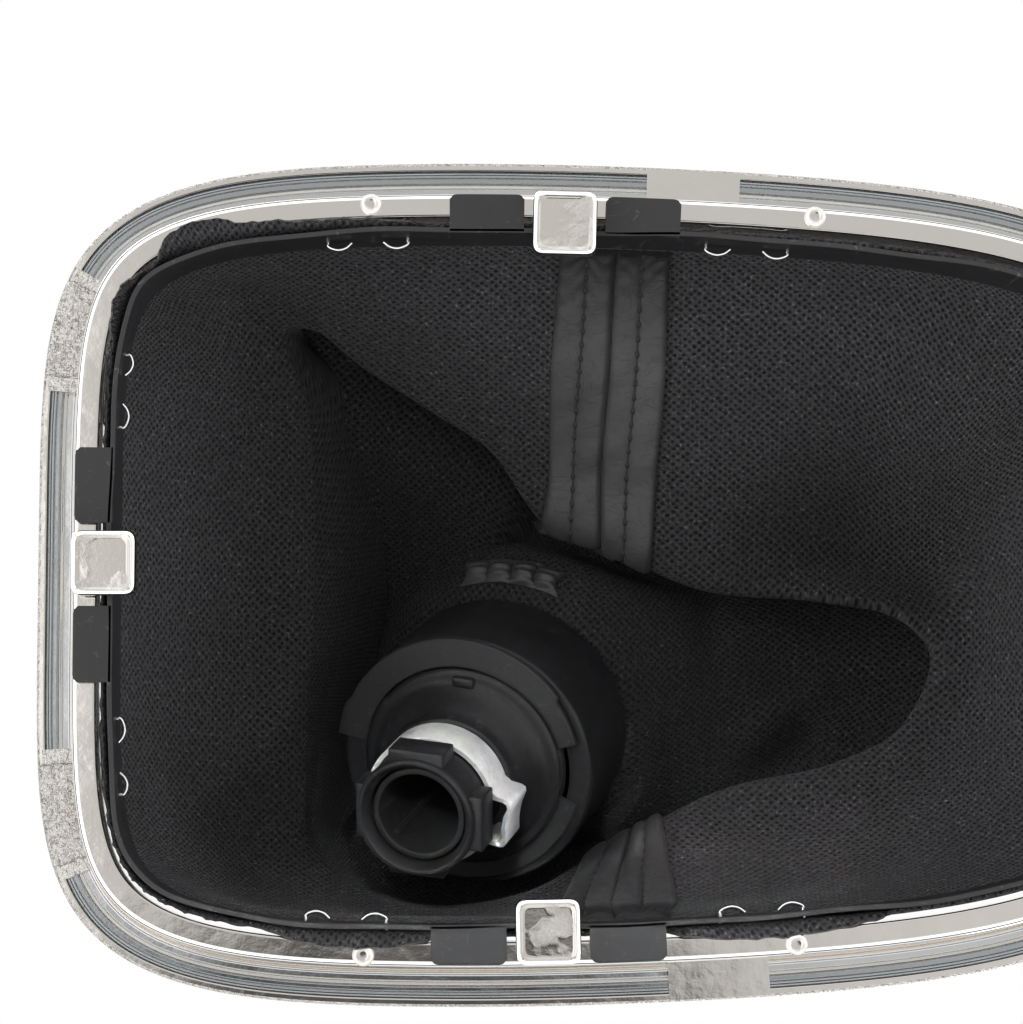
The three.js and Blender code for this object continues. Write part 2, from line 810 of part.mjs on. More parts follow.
function earClamp() {
  const inner = neckRadius + 0.35;
  const outer = inner + clampThickness;
  const halfEar = Math.asin(earWidth / 2 / outer);
  const tip = outer + earHeight;
  const earSide = earWidth / 2 - 0.6;
  const contour = (radius, top, side) => {
    const path = new THREE.Path();
    path.absarc(0, 0, radius, halfEar, turn - halfEar);
    path.lineTo(radius * Math.cos(halfEar) + 1.1, -side);
    path.lineTo(top - 0.7, -side);
    path.lineTo(top, -side + 0.8);
    path.lineTo(top, side - 0.8);
    path.lineTo(top - 0.7, side);
    path.lineTo(radius * Math.cos(halfEar) + 1.1, side);
    path.closePath();
    return path;
  };
  const shape = new THREE.Shape(contour(outer, tip, earSide).getPoints(16));
  shape.holes.push(contour(inner, tip - clampThickness, earSide - clampThickness));
  const band = new THREE.ExtrudeGeometry(shape, {
    depth: clampWidth - 0.3,
    bevelEnabled: false,
    curveSegments: 16,
  });
  return band.rotateZ(earAngle * degree).translate(0, 0, clampTopZ - clampWidth);
}

// The clip is a flat C with stepped ends and one notch, and slides in from one side
function retainingClip() {
  const endFrom = 186;
  const bodyFrom = 203;
  const shelfFrom = 323;
  const notchFrom = 345;
  const notchTo = 375;
  const endTo = 460;
  const step = 1; // degrees between two radii
  const arc = (radius, from, to) => {
    const spans = Math.ceil(Math.abs(to - from) / 10);
    return Array.from({ length: spans + 1 }, (_, i) => {
      const angle = (from + ((to - from) * i) / spans) * degree;
      return new THREE.Vector2(radius * Math.cos(angle), radius * Math.sin(angle));
    });
  };
  const shape = new THREE.Shape([
    ...arc(clipOuter + 0.5, endFrom, bodyFrom - step),
    ...arc(clipOuter, bodyFrom + step, shelfFrom - step),
    ...arc(clipOuter - 0.7, shelfFrom + step, notchFrom),
    ...arc(clipInner + 1, notchFrom, notchTo),
    ...arc(clipOuter - 0.4, notchTo, endTo),
    ...arc(clipInner, endTo, endFrom),
  ]);
  const clip = new THREE.ExtrudeGeometry(shape, { depth: clipThickness, bevelEnabled: false });
  const slide = 225 * degree;
  return clip
    .translate(clipShift * Math.cos(slide), clipShift * Math.sin(slide), 0)
    .translate(0, 0, -collarLength - clearance - clipThickness);
}

function gaiterCollar() {
  const inner = collarRadius - collarWall;
  const lipInner = discRadius + clearance + 0.4;
  return turned([
    [lipInner, -collarLength],
    [collarRadius - 0.3, -collarLength],
    [collarRadius, -collarLength + 0.3],
    [collarRadius, 0],
    [inner - 1, 0],
    [inner - 1, -2],
    [inner, -3],
    [inner, -collarLength + 1.6],
    [lipInner, -collarLength + 1.6],
    [lipInner, -collarLength],
  ]);
}

function baseRing() {
  const inner = postRadius + clearance;
  const top = gaiterSlot + baseRingHeight;
  return turned([
    [inner, gaiterSlot],
    [collarRadius - 0.9, gaiterSlot],
    [collarRadius - 0.3, gaiterSlot + 0.7],
    [collarRadius - 0.6, gaiterSlot + 2.4],
    [18.9, top - 0.4],
    [18.4, top],
    [inner, top],
    [inner, gaiterSlot],
  ]);
}

function grip() {
  const inner = postRadius + clearance;
  return turned([[inner, gripBottomZ], ...gripOutline, [inner, gripTopZ], [inner, gripBottomZ]]);
}

function capRing() {
  const bottom = gripTopZ + clearance;
  return turned([
    [postRadius + clearance, bottom],
    [18.7, bottom],
    [18.9, bottom + 0.8],
    [18.2, bottom + 1.8],
    [17.4, bottom + capRingHeight],
    [postRadius + clearance, bottom + capRingHeight],
    [postRadius + clearance, bottom],
  ]);
}

function knobCap() {
  const bottom = gripTopZ + 2 * clearance + capRingHeight;
  const crown = Array.from({ length: 7 }, (_, i) => {
    const angle = (i / 6) * (turn / 4);
    return [capRadius * Math.cos(angle), bottom + 1.2 + (capHeight - 1.2) * Math.sin(angle)];
  });
  crown[crown.length - 1][0] = 0;
  return turned([
    [0, gripTopZ - 1.5],
    [postRadius - 1, gripTopZ - 1.5],
    [postRadius - 1, bottom],
    [capRadius, bottom],
    ...crown,
  ]);
}

const part = new THREE.Group();
const knob = new THREE.Group();
knob.position.copy(knobSeat);
knob.setRotationFromMatrix(new THREE.Matrix4().makeBasis(knobX, knobY, knobUp));
part.add(knob);

function addMesh(group, name, shape, finish) {
  const geometry = shape.isBufferGeometry ? shape : toGeometry(shape);
  const mesh = new THREE.Mesh(geometry, finish);
  mesh.name = name;
  group.add(mesh);
}

const slots = stapleSlots();
addMesh(part, "trim_frame", trimFrame(), chrome);
addMesh(part, "carrier_frame", carrierFrame(slots), blackPlastic);
addMesh(part, "gaiter", gaiter(slots), leather);
for (const [name, strip] of Object.entries(stripPlaces)) {
  addMesh(part, name, seamStrip(strip), stripLeather);
}
stapleStations.forEach((station, i) =>
  addMesh(part, `staple_${i + 1}`, stapleGeometry(station), stapleSteel),
);
addMesh(knob, "knob_core", knobCore(), blackPlastic);
addMesh(knob, "lever_bush", leverBush(), rubber);
addMesh(knob, "ear_clamp", earClamp(), zincSteel);
addMesh(knob, "retaining_clip", retainingClip(), blackPlastic);
addMesh(knob, "gaiter_collar", gaiterCollar(), blackPlastic);
addMesh(knob, "base_ring", baseRing(), chrome);
addMesh(knob, "knob_grip", grip(), leather);
addMesh(knob, "cap_ring", capRing(), chrome);
addMesh(knob, "knob_cap", knobCap(), blackPlastic);

export default part;
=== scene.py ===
import math

import bpy
import numpy as np
from mathutils import Matrix, Vector


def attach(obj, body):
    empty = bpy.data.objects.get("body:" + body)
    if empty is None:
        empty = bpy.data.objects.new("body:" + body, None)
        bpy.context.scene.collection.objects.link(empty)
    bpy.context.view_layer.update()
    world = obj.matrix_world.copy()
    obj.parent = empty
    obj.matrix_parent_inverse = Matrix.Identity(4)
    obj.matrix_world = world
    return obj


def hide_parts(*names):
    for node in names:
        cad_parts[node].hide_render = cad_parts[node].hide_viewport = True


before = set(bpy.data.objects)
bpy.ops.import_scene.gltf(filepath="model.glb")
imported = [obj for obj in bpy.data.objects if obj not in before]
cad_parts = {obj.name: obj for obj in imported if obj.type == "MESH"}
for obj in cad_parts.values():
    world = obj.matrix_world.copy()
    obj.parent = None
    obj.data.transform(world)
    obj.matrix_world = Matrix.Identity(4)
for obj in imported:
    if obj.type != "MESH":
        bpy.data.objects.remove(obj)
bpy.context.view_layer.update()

# The pieces' lengths are in millimetres, as on a drawing, until a mesh is made. The camera, the
# lamps and the floor are in metres
turn = 2 * math.pi
toMetres = 0.001
rng = np.random.default_rng(7)


# Stage
cameraSettings = {
    "place": (-0.01748, 0.038013, -0.487698),
    "right": (1, 0, 0),
    "up": (0, -0.9953962, -0.0958458),
    "back": (0, 0.0958458, -0.9953962),
    "lens": 118.56,
}

# What glossy rays meet: brightness added over a range of the ray's height, from and to
mirrorBands = [(-0.95, -0.84, 0.95, 1.75), (-0.45, -0.30, 0.0, -1.7), (0.02, 0.22, 0.0, 0.95)]
# The dark camera straight below: middle and reach, across and along
cameraBlob = {"middle": (-0.03, 0.085), "reach": (0.095, 0.075), "darkness": 0.88}
ambientLight = 0.42

# Name, place, size, watts, seen in the chrome, and for a narrow lamp its aim and spread
lampSettings = [
    ("lampBelowLeft", (-0.95, -0.2, -0.8), 0.7, 7, False),
    ("lampLowLeft", (-1.1, 0.1, -0.4), 0.6, 11, False),
    ("lampLowRight", (1.1, -0.15, -0.24), 0.5, 15, False),
    ("lampBelowBack", (0.2, 0.95, -0.5), 0.6, 7, False),
    ("lampBelowFront", (-0.1, -0.95, -0.4), 0.6, 3, False),
    ("lampBelowMiddle", (-0.1, -0.15, -1.25), 0.7, 2, False),
    ("lampUnderKnob", (-0.08, -0.14, -0.9), 0.1, 0.03, False, (-0.012, 0.058, 0.02), 4),
    ("lampAbove", (-0.5, -0.7, 1.2), 0.9, 12, True),
    ("lampBehind", (0.7, 0.9, 0.8), 0.7, 6, True),
]


def addCamera(settings):
    camera = bpy.data.objects.new("camera", bpy.data.cameras.new("camera"))
    bpy.context.scene.collection.objects.link(camera)
    axes = Matrix([settings["right"], settings["up"], settings["back"]]).transposed()
    camera.matrix_world = Matrix.Translation(settings["place"]) @ axes.to_4x4()
    camera.data.sensor_width = 36
    camera.data.lens = settings["lens"]
    camera.data.clip_start = 0.01
    camera.data.clip_end = 20
    bpy.context.scene.camera = camera


def addNode(tree, kind, inputs=None, **settings):
    node = tree.nodes.new("ShaderNode" + kind)
    for key, value in settings.items():
        setattr(node, key, value)
    for key, value in (inputs or {}).items():
        if isinstance(value, bpy.types.NodeSocket):
            tree.links.new(value, node.inputs[key])
        else:
            node.inputs[key].default_value = value
    return node


def calc(tree, operation, a, b=0.0, clamp=False):
    inputs = {0: a, 1: b}
    return addNode(tree, "Math", inputs, operation=operation, use_clamp=clamp).outputs[0]


def remap(tree, value, low, high, toLow=0.0, toHigh=1.0, smooth=False):
    kind = "SMOOTHSTEP" if smooth else "LINEAR"
    inputs = {"Value": value, "From Min": low, "From Max": high, "To Min": toLow, "To Max": toHigh}
    return addNode(tree, "MapRange", inputs, interpolation_type=kind).outputs[0]


def mixColours(tree, factor, a, b):
    node = addNode(tree, "Mix", data_type="RGBA")
    for key, value in ((0, factor), (6, a), (7, b)):
        if isinstance(value, bpy.types.NodeSocket):
            tree.links.new(value, node.inputs[key])
        else:
            node.inputs[key].default_value = value if key == 0 else (*value, 1)
    return node.outputs[2]


def placeIn(tree, coordinates="Object", scale=(1, 1, 1), turned=0.0):
    source = addNode(tree, "TexCoord").outputs[coordinates]
    inputs = {"Vector": source, "Scale": scale, "Rotation": (0, 0, turned)}
    return addNode(tree, "Mapping", inputs).outputs[0]


def noise(tree, place, scale, detail=3.0, roughness=0.5, distortion=0.0):
    inputs = {"Vector": place, "Scale": scale, "Detail": detail}
    inputs.update({"Roughness": roughness, "Distortion": distortion})
    return addNode(tree, "TexNoise", inputs).outputs[0]


def cells(tree, place, scale, feature="F1", randomness=1.0):
    inputs = {"Vector": place, "Scale": scale, "Randomness": randomness}
    return addNode(tree, "TexVoronoi", inputs, feature=feature).outputs["Distance"]


def addWorld():
    world = bpy.data.worlds.new("studio")
    bpy.context.scene.world = world
    world.use_nodes = True
    tree = world.node_tree
    tree.nodes.clear()
    # The chrome mirrors a pale room with a dark horizon and, straight below the part, the dark
    # camera with a white card beside it
    direction = addNode(tree, "TexCoord").outputs["Generated"]
    parts = addNode(tree, "SeparateXYZ", {0: direction}).outputs
    across, along, height = parts["X"], parts["Y"], parts["Z"]
    mirrored = remap(tree, height, *mirrorBands[0], True)
    for band in mirrorBands[1:]:
        mirrored = calc(tree, "ADD", mirrored, remap(tree, height, *band, True))
    patches = remap(tree, noise(tree, direction, 2.4, 2.0), 0.38, 0.62, 0.80, 1.08, True)
    mirrored = calc(tree, "MULTIPLY", mirrored, patches)
    squares = []
    for value, middle, reach in zip((across, along), cameraBlob["middle"], cameraBlob["reach"]):
        off = calc(tree, "DIVIDE", calc(tree, "SUBTRACT", value, middle), reach)
        squares.append(calc(tree, "MULTIPLY", off, off))
    far = calc(tree, "ADD", *squares)
    below = remap(tree, height, -0.9, -0.97)
    blob = remap(tree, far, 0.50, 1.45, cameraBlob["darkness"], 0.0, True)
    dark = calc(tree, "MULTIPLY", blob, below)
    mirrored = calc(tree, "MULTIPLY", mirrored, calc(tree, "SUBTRACT", 1, dark))
    card = calc(tree, "MULTIPLY", remap(tree, across, -0.130, -0.142, 0.0, 0.7, True), below)
    mirrored = calc(tree, "ADD", mirrored, card)
    path = addNode(tree, "LightPath")
    glossy = path.outputs["Is Glossy Ray"]
    ambient = calc(tree, "MULTIPLY", calc(tree, "SUBTRACT", 1, glossy), ambientLight)
    unseen = calc(tree, "ADD", calc(tree, "MULTIPLY", glossy, mirrored), ambient)
    seen = calc(tree, "MAXIMUM", path.outputs["Is Camera Ray"], path.outputs["Is Transmission Ray"])
    rest = calc(tree, "MULTIPLY", calc(tree, "SUBTRACT", 1, seen), unseen)
    strength = calc(tree, "ADD", seen, rest)
    background = addNode(tree, "Background", {"Color": (1, 1, 1, 1), "Strength": strength})
    output = addNode(tree, "OutputWorld")
    tree.links.new(background.outputs[0], output.inputs[0])


def addLamp(name, place, size, watts, inChrome, aim=(0, 0, 0), spread=180):
    lamp = bpy.data.objects.new(name, bpy.data.lights.new(name, "AREA"))
    lamp.data.shape = "DISK"
    lamp.data.size = size
    lamp.data.energy = watts
    lamp.location = place
    lamp.data.spread = math.radians(spread)
    lamp.rotation_euler = (Vector(aim) - Vector(place)).to_track_quat("-Z", "Y").to_euler()
    lamp.visible_camera = False
    lamp.visible_glossy = inChrome
    bpy.context.scene.collection.objects.link(lamp)


def addFloor():
    mesh = bpy.data.meshes.new("floor")
    corners = [(-3, -3, -0.0006), (3, -3, -0.0006), (3, 3, -0.0006), (-3, 3, -0.0006)]
    mesh.from_pydata(corners, [], [(0, 1, 2, 3)])
    floor = bpy.data.objects.new("floor", mesh)
    bpy.context.scene.collection.objects.link(floor)
    material = bpy.data.materials.new("paleFloor")
    material.use_nodes = True
    tree = material.node_tree
    # The photograph looks up from under the floor, so the floor shows only from above
    path = addNode(tree, "LightPath")
    side = addNode(tree, "NewGeometry")
    above = calc(tree, "SUBTRACT", 1, side.outputs["Backfacing"])
    shown = calc(tree, "MULTIPLY", above, path.outputs["Is Camera Ray"])
    shader = tree.nodes["Principled BSDF"]
    mottle = addNode(tree, "TexNoise", {"Scale": 3.0, "Detail": 3.0})
    tone = mixColours(tree, mottle.outputs[0], (0.80, 0.80, 0.795), (0.84, 0.84, 0.835))
    tree.links.new(tone, shader.inputs["Base Color"])
    shader.inputs["Roughness"].default_value = 0.9
    clear = addNode(tree, "BsdfTransparent")
    both = addNode(tree, "MixShader", {0: shown, 1: clear.outputs[0], 2: shader.outputs[0]})
    tree.links.new(both.outputs[0], tree.nodes["Material Output"].inputs[0])
    mesh.materials.append(material)


bpy.context.scene.view_settings.view_transform = "Standard"
addCamera(cameraSettings)
addWorld()
for lampRow in lampSettings:
    addLamp(*lampRow)
addFloor()
print("stage: camera, world, lamps and floor")


# Materials
def startMaterial(name, **sockets):
    material = bpy.data.materials.new(name)
    material.use_nodes = True
    tree = material.node_tree
    shader = tree.nodes["Principled BSDF"]
    for key, value in sockets.items():
        shader.inputs[key.replace("_", " ")].default_value = value
    return material, tree, shader


def addBump(tree, shader, height, distance, strength=1.0, under=None):
    inputs = {"Height": height, "Distance": distance, "Strength": strength}
    if under:
        inputs["Normal"] = under
    bump = addNode(tree, "Bump", inputs).outputs[0]
    tree.links.new(bump, shader.inputs["Normal"])
    return bump


def chromeMaterial(name, colour, polish, wave, grit):
    material, tree, shader = startMaterial(name, Metallic=1.0)
    place = placeIn(tree)
    cloudy = noise(tree, place, 160.0, 4.0)
    fine = noise(tree, place, 2600.0, 3.0)
    tone = mixColours(tree, cloudy, colour, tuple(0.93 * c for c in colour))
    tree.links.new(tone, shader.inputs["Base Color"])
    worn = remap(tree, cloudy, 0.3, 0.75, polish, 2.2 * polish)
    tree.links.new(worn, shader.inputs["Roughness"])
    first = addNode(tree, "Bump", {"Height": cloudy, "Distance": wave, "Strength": 1.0}).outputs[0]
    addBump(tree, shader, fine, grit, 1.0, first)
    return material


def roughChromeMaterial():
    material, tree, shader = startMaterial("roughChrome", Metallic=1.0)
    place = placeIn(tree)
    crumbs = cells(tree, place, 1500.0)
    fine = noise(tree, place, 2400.0, 4.0, 0.65)
    rough = calc(tree, "ADD", crumbs, fine)
    tone = mixColours(tree, fine, (0.42, 0.40, 0.375), (0.92, 0.90, 0.87))
    tree.links.new(tone, shader.inputs["Base Color"])
    tree.links.new(remap(tree, fine, 0.35, 0.7, 0.12, 0.42), shader.inputs["Roughness"])
    addBump(tree, shader, rough, 0.00035, 0.9)
    return material


def castChromeMaterial():
    # Chrome over a face that was cast a little rough in patches
    material, tree, shader = startMaterial("castChrome", Metallic=1.0)
    place = placeIn(tree)
    patch = remap(tree, noise(tree, place, 110.0, 3.0, 0.6), 0.48, 0.66, 0.0, 1.0, True)
    grain = noise(tree, place, 1700.0, 4.0, 0.7)
    dulled = calc(tree, "MULTIPLY", patch, 0.55)
    tone = mixColours(tree, dulled, (0.68, 0.65, 0.60), (0.30, 0.29, 0.28))
    tone = mixColours(tree, remap(tree, grain, 0.62, 0.72, 0.0, 0.5), tone, (0.9, 0.89, 0.87))
    tree.links.new(tone, shader.inputs["Base Color"])
    tree.links.new(remap(tree, patch, 0, 1, 0.06, 0.22), shader.inputs["Roughness"])
    height = calc(tree, "MULTIPLY", grain, remap(tree, patch, 0, 1, 0.03, 1.0))
    addBump(tree, shader, height, 0.00016, 0.9)
    return material


def knitMaterial(name, tone):
    material, tree, shader = startMaterial(name, Roughness=0.92)
    shader.inputs["Specular IOR Level"].default_value = 0.15
    shader.inputs["Sheen Weight"].default_value = 0.05
    shader.inputs["Sheen Roughness"].default_value = 0.6
    shader.inputs["Sheen Tint"].default_value = (0.62, 0.62, 0.65, 1)
    # 1 UV unit is 100 mm of cloth, and the holes between the loops lie 1 mm apart, on the slant
    place = placeIn(tree, "UV", (96.0, 103.0, 1.0), math.radians(45))
    stitch = cells(tree, place, 1.0, randomness=0.25)
    holes = remap(tree, stitch, 0.08, 0.52, 1.0, 0.0, True)
    wide = placeIn(tree, "UV")
    cloud = noise(tree, wide, 7.0, 3.0)
    fuzz = noise(tree, wide, 240.0, 3.0, 0.8)
    flecks = noise(tree, wide, 210.0, 1.0, 0.5, 0.6)
    pile = remap(tree, fuzz, 0.3, 0.7)
    yarn = mixColours(tree, pile, (0.009, 0.009, 0.0095), (0.054, 0.053, 0.056))
    lint = calc(tree, "MULTIPLY", remap(tree, flecks, 0.62, 0.74), 0.75)
    yarn = mixColours(tree, lint, yarn, (0.13, 0.13, 0.135))
    base = mixColours(tree, holes, yarn, (0.0015, 0.0015, 0.002))
    shade = remap(tree, cloud, 0.3, 0.7, 0.0, 0.3)
    base = mixColours(tree, shade, base, (0.013, 0.013, 0.014))
    # A tone below 1 darkens the knit towards black: painted shade for the darker copy
    base = mixColours(tree, tone, (0.002, 0.002, 0.002), base)
    tree.links.new(base, shader.inputs["Base Color"])
    height = calc(tree, "SUBTRACT", calc(tree, "MULTIPLY", fuzz, 0.45), holes)
    addBump(tree, shader, height, 0.0003, 1.0)
    return material


def stripMaterial():
    # Smooth split leather: no pebbles, only fine wrinkles across the strip
    material, tree, shader = startMaterial("stripLeather")
    shader.inputs["Specular IOR Level"].default_value = 0.4
    place = placeIn(tree)
    wrinkles = noise(tree, placeIn(tree, "Object", (0.35, 1.0, 0.8)), 420.0, 4.0, 0.6, 1.4)
    lines = noise(tree, placeIn(tree, "Object", (0.7, 1, 1)), 330.0, 2.0, 0.5, 1.2)
    offLine = calc(tree, "ABSOLUTE", calc(tree, "SUBTRACT", lines, 0.5))
    creases = remap(tree, offLine, 0.0, 0.02, 1.0, 0.0)
    cloud = noise(tree, place, 90.0, 4.0)
    paler = remap(tree, cloud, 0.3, 0.7)
    tone = mixColours(tree, paler, (0.030, 0.030, 0.031), (0.048, 0.047, 0.048))
    tone = mixColours(tree, calc(tree, "MULTIPLY", creases, 0.35), tone, (0.018, 0.018, 0.019))
    height = addNode(tree, "SeparateXYZ", {0: place}).outputs["Z"]
    # Painted shade: the strip is darker low down, near the frame
    frameShade = remap(tree, height, 0.019, 0.031, 0.8, 0.0, True)
    tone = mixColours(tree, frameShade, tone, (0.009, 0.009, 0.010))
    tree.links.new(tone, shader.inputs["Base Color"])
    tree.links.new(remap(tree, cloud, 0.3, 0.7, 0.42, 0.6), shader.inputs["Roughness"])
    height = calc(tree, "SUBTRACT", wrinkles, calc(tree, "MULTIPLY", creases, 0.2))
    addBump(tree, shader, height, 0.00016, 0.9)
    return material


def leatherMaterial(name, dark, light, grain, roughness, depth):
    material, tree, shader = startMaterial(name)
    place = placeIn(tree)
    bent = addNode(tree, "VectorMath", {0: place}, operation="ADD")
    drift = addNode(tree, "TexNoise", {"Vector": place, "Scale": 0.5 * grain, "Detail": 2.0})
    inputs = {0: drift.outputs["Color"], "Scale": 0.35 / grain}
    shift = addNode(tree, "VectorMath", inputs, operation="SCALE")
    tree.links.new(shift.outputs[0], bent.inputs[1])
    edges = cells(tree, bent.outputs[0], grain, "DISTANCE_TO_EDGE")
    pebbles = remap(tree, edges, 0.0, 0.16, 0.0, 1.0, True)
    cloud = noise(tree, place, 45.0, 4.0)
    pores = noise(tree, place, 5.0 * grain, 2.0)
    tone = mixColours(tree, calc(tree, "MULTIPLY", pebbles, cloud), dark, light)
    tree.links.new(tone, shader.inputs["Base Color"])
    gloss = remap(tree, cloud, 0.3, 0.7, roughness - 0.08, roughness + 0.1)
    tree.links.new(gloss, shader.inputs["Roughness"])
    height = calc(tree, "ADD", pebbles, calc(tree, "MULTIPLY", pores, 0.4))
    addBump(tree, shader, height, depth, 0.8)
    return material


def plasticMaterial(name, dark, light, roughness, grain=900.0, depth=0.00003, gloss=0.25):
    material, tree, shader = startMaterial(name)
    shader.inputs["Specular IOR Level"].default_value = gloss
    place = placeIn(tree)
    cloud = noise(tree, place, 120.0, 5.0, 0.6)
    fine = noise(tree, place, grain, 3.0)
    scuff = noise(tree, placeIn(tree, "Object", (1, 1, 0.15)), 520.0, 2.0, 0.7, 1.5)
    marks = remap(tree, scuff, 0.63, 0.72, 0.0, 0.5)
    tone = mixColours(tree, cloud, dark, light)
    tone = mixColours(tree, marks, tone, tuple(2.2 * c + 0.01 for c in light))
    tree.links.new(tone, shader.inputs["Base Color"])
    rough = remap(tree, cloud, 0.3, 0.7, roughness - 0.07, roughness + 0.1)
    tree.links.new(rough, shader.inputs["Roughness"])
    addBump(tree, shader, fine, depth, 0.7)
    return material


def zincMaterial():
    material, tree, shader = startMaterial("mottledZinc", Metallic=0.35)
    place = placeIn(tree)
    spots = cells(tree, place, 900.0)
    mottle = noise(tree, place, 420.0, 5.0, 0.7)
    tone = mixColours(tree, mottle, (0.48, 0.49, 0.49), (1.0, 1.0, 0.99))
    tone = mixColours(tree, remap(tree, spots, 0.0, 0.25, 0.5, 0.0), tone, (0.25, 0.25, 0.25))
    tree.links.new(tone, shader.inputs["Base Color"])
    tree.links.new(remap(tree, mottle, 0.3, 0.7, 0.28, 0.5), shader.inputs["Roughness"])
    addBump(tree, shader, mottle, 0.00006, 0.8)
    return material


def threadMaterial(name, dark, light):
    material, tree, shader = startMaterial(name, Roughness=0.75)
    place = placeIn(tree)
    ply = noise(tree, place, 2200.0, 2.0, 0.6)
    tree.links.new(mixColours(tree, ply, dark, light), shader.inputs["Base Color"])
    addBump(tree, shader, ply, 0.00006, 0.8)
    return material


chrome = chromeMaterial("chrome", (0.71, 0.675, 0.63), 0.05, 0.00004, 0.000002)
ringChrome = chromeMaterial("ringChrome", (0.70, 0.69, 0.67), 0.05, 0.00001, 0.000001)
# Painted shade: the groove's floor is a darker, bluish copy of the chrome
shadedGrooveChrome = chromeMaterial("shadedGrooveChrome", (0.40, 0.42, 0.435), 0.07, 0.00005, 0.000003)
# Painted reflection: the bands beside the groove are a greyer, slightly darker copy of the chrome
reflectionChrome = chromeMaterial("reflectionChrome", (0.60, 0.605, 0.60), 0.06, 0.00004, 0.000003)
# Painted highlight: the ledge's fillet and the hooks' lips are a brighter copy of the chrome
highlightChrome = chromeMaterial("highlightChrome", (0.96, 0.95, 0.93), 0.08, 0.00001, 0.000002)
castChrome = castChromeMaterial()
roughChrome = roughChromeMaterial()
framePlastic = plasticMaterial("framePlastic", (0.017, 0.017, 0.018), (0.027, 0.027, 0.028), 0.50)
# Painted highlight: the carrier wall's free edge is a lighter copy of the frame's plastic
highlightEdgePlastic = plasticMaterial(
    "highlightEdgePlastic", (0.022, 0.022, 0.023), (0.045, 0.045, 0.046), 0.6, gloss=0.1
)
# Painted shade: the carrier's wall is a darker copy of the frame's plastic
shadedWallPlastic = plasticMaterial(
    "shadedWallPlastic", (0.010, 0.010, 0.011), (0.017, 0.017, 0.018), 0.5, gloss=0.15
)
corePlastic = plasticMaterial("corePlastic", (0.008, 0.008, 0.009), (0.017, 0.017, 0.018), 0.36)
collarPlastic = plasticMaterial("collarPlastic", (0.010, 0.010, 0.011), (0.016, 0.016, 0.017), 0.42)
glossPlastic = plasticMaterial(
    "glossPlastic", (0.006, 0.006, 0.007), (0.010, 0.010, 0.011), 0.10, 900.0, 0.000002, 0.5
)
bushRubber = plasticMaterial("bushRubber", (0.008, 0.008, 0.008), (0.018, 0.018, 0.018), 0.55)
knit = knitMaterial("knitBacking", 1.0)
# Painted shade: a darker copy of the knit for the roll above the crease, deep in the gaiter
shadedKnit = knitMaterial("knitBackingShaded", 0.74)
outerLeather = leatherMaterial(
    "outerLeather", (0.006, 0.006, 0.007), (0.028, 0.028, 0.031), 900.0, 0.46, 0.00012
)
stripLeather = stripMaterial()
gripLeather = leatherMaterial(
    "gripLeather", (0.006, 0.006, 0.007), (0.024, 0.024, 0.026), 1100.0, 0.42, 0.00008
)
zinc = zincMaterial()
stapleWire = chromeMaterial("stapleWire", (0.84, 0.84, 0.83), 0.16, 0.00001, 0.000002)
blackThread = threadMaterial("blackThread", (0.004, 0.004, 0.004), (0.016, 0.016, 0.017))
print("materials: metals, plastics, cloth and leathers")


# Helpers that make meshes
def unit(vectors):
    return vectors / np.maximum(np.linalg.norm(vectors, axis=-1, keepdims=True), 1e-9)


def addPiece(name, points, faces, materials, nodes=(), faceMaterials=None,
             loopUvs=None, smoothAngle=40):
    mesh = bpy.data.meshes.new(name)
    faces = faces if isinstance(faces, list) else faces.tolist()
    mesh.from_pydata((np.asarray(points, float) * toMetres).tolist(), [], faces)
    for material in materials:
        mesh.materials.append(material)
    if faceMaterials is not None:
        mesh.polygons.foreach_set("material_index", np.asarray(faceMaterials, np.int32))
    if loopUvs is not None:
        layer = mesh.uv_layers.new(name="cloth")
        layer.data.foreach_set("uv", np.asarray(loopUvs, np.float32).ravel())
    mesh.validate()
    mesh.shade_smooth()
    mesh.set_sharp_from_angle(angle=math.radians(smoothAngle))
    piece = bpy.data.objects.new(name, mesh)
    bpy.context.scene.collection.objects.link(piece)
    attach(piece, "root")
    if nodes:
        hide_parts(*nodes)
    return piece


def gridFaces(rows, columns, closeRows=False, closeColumns=False, start=0, flip=False):
    # Vertex of row i and column j is start + i * columns + j
    i, j = np.meshgrid(
        np.arange(rows if closeRows else rows - 1),
        np.arange(columns if closeColumns else columns - 1),
        indexing="ij",
    )
    i, j = i.ravel(), j.ravel()
    i2, j2 = (i + 1) % rows, (j + 1) % columns
    quads = np.stack([i * columns + j, i2 * columns + j, i2 * columns + j2, i * columns + j2], 1)
    return start + (quads[:, ::-1] if flip else quads)


def endFaces(rows, size, flip=False):
    # The two faces that close a grid of rows, each a ring of size points
    first, last = list(range(size)), [(rows - 1) * size + k for k in range(size)]
    return [first, last[::-1]] if flip else [first[::-1], last]


class MeshParts:
    # Collects several shapes for one piece
    def __init__(self):
        self.points, self.faces, self.kinds = [], [], []
        self.count = 0

    def add(self, points, faces, kind=0):
        points = np.asarray(points, float).reshape(-1, 3)
        for face in faces:
            self.faces.append([int(index) + self.count for index in face])
        self.kinds.extend(np.broadcast_to(kind, len(faces)).tolist())
        self.points.append(points)
        self.count += len(points)

    def make(self, name, materials, nodes=(), smoothAngle=40):
        return addPiece(name, np.concatenate(self.points), self.faces, materials, nodes,
                        self.kinds, smoothAngle=smoothAngle)


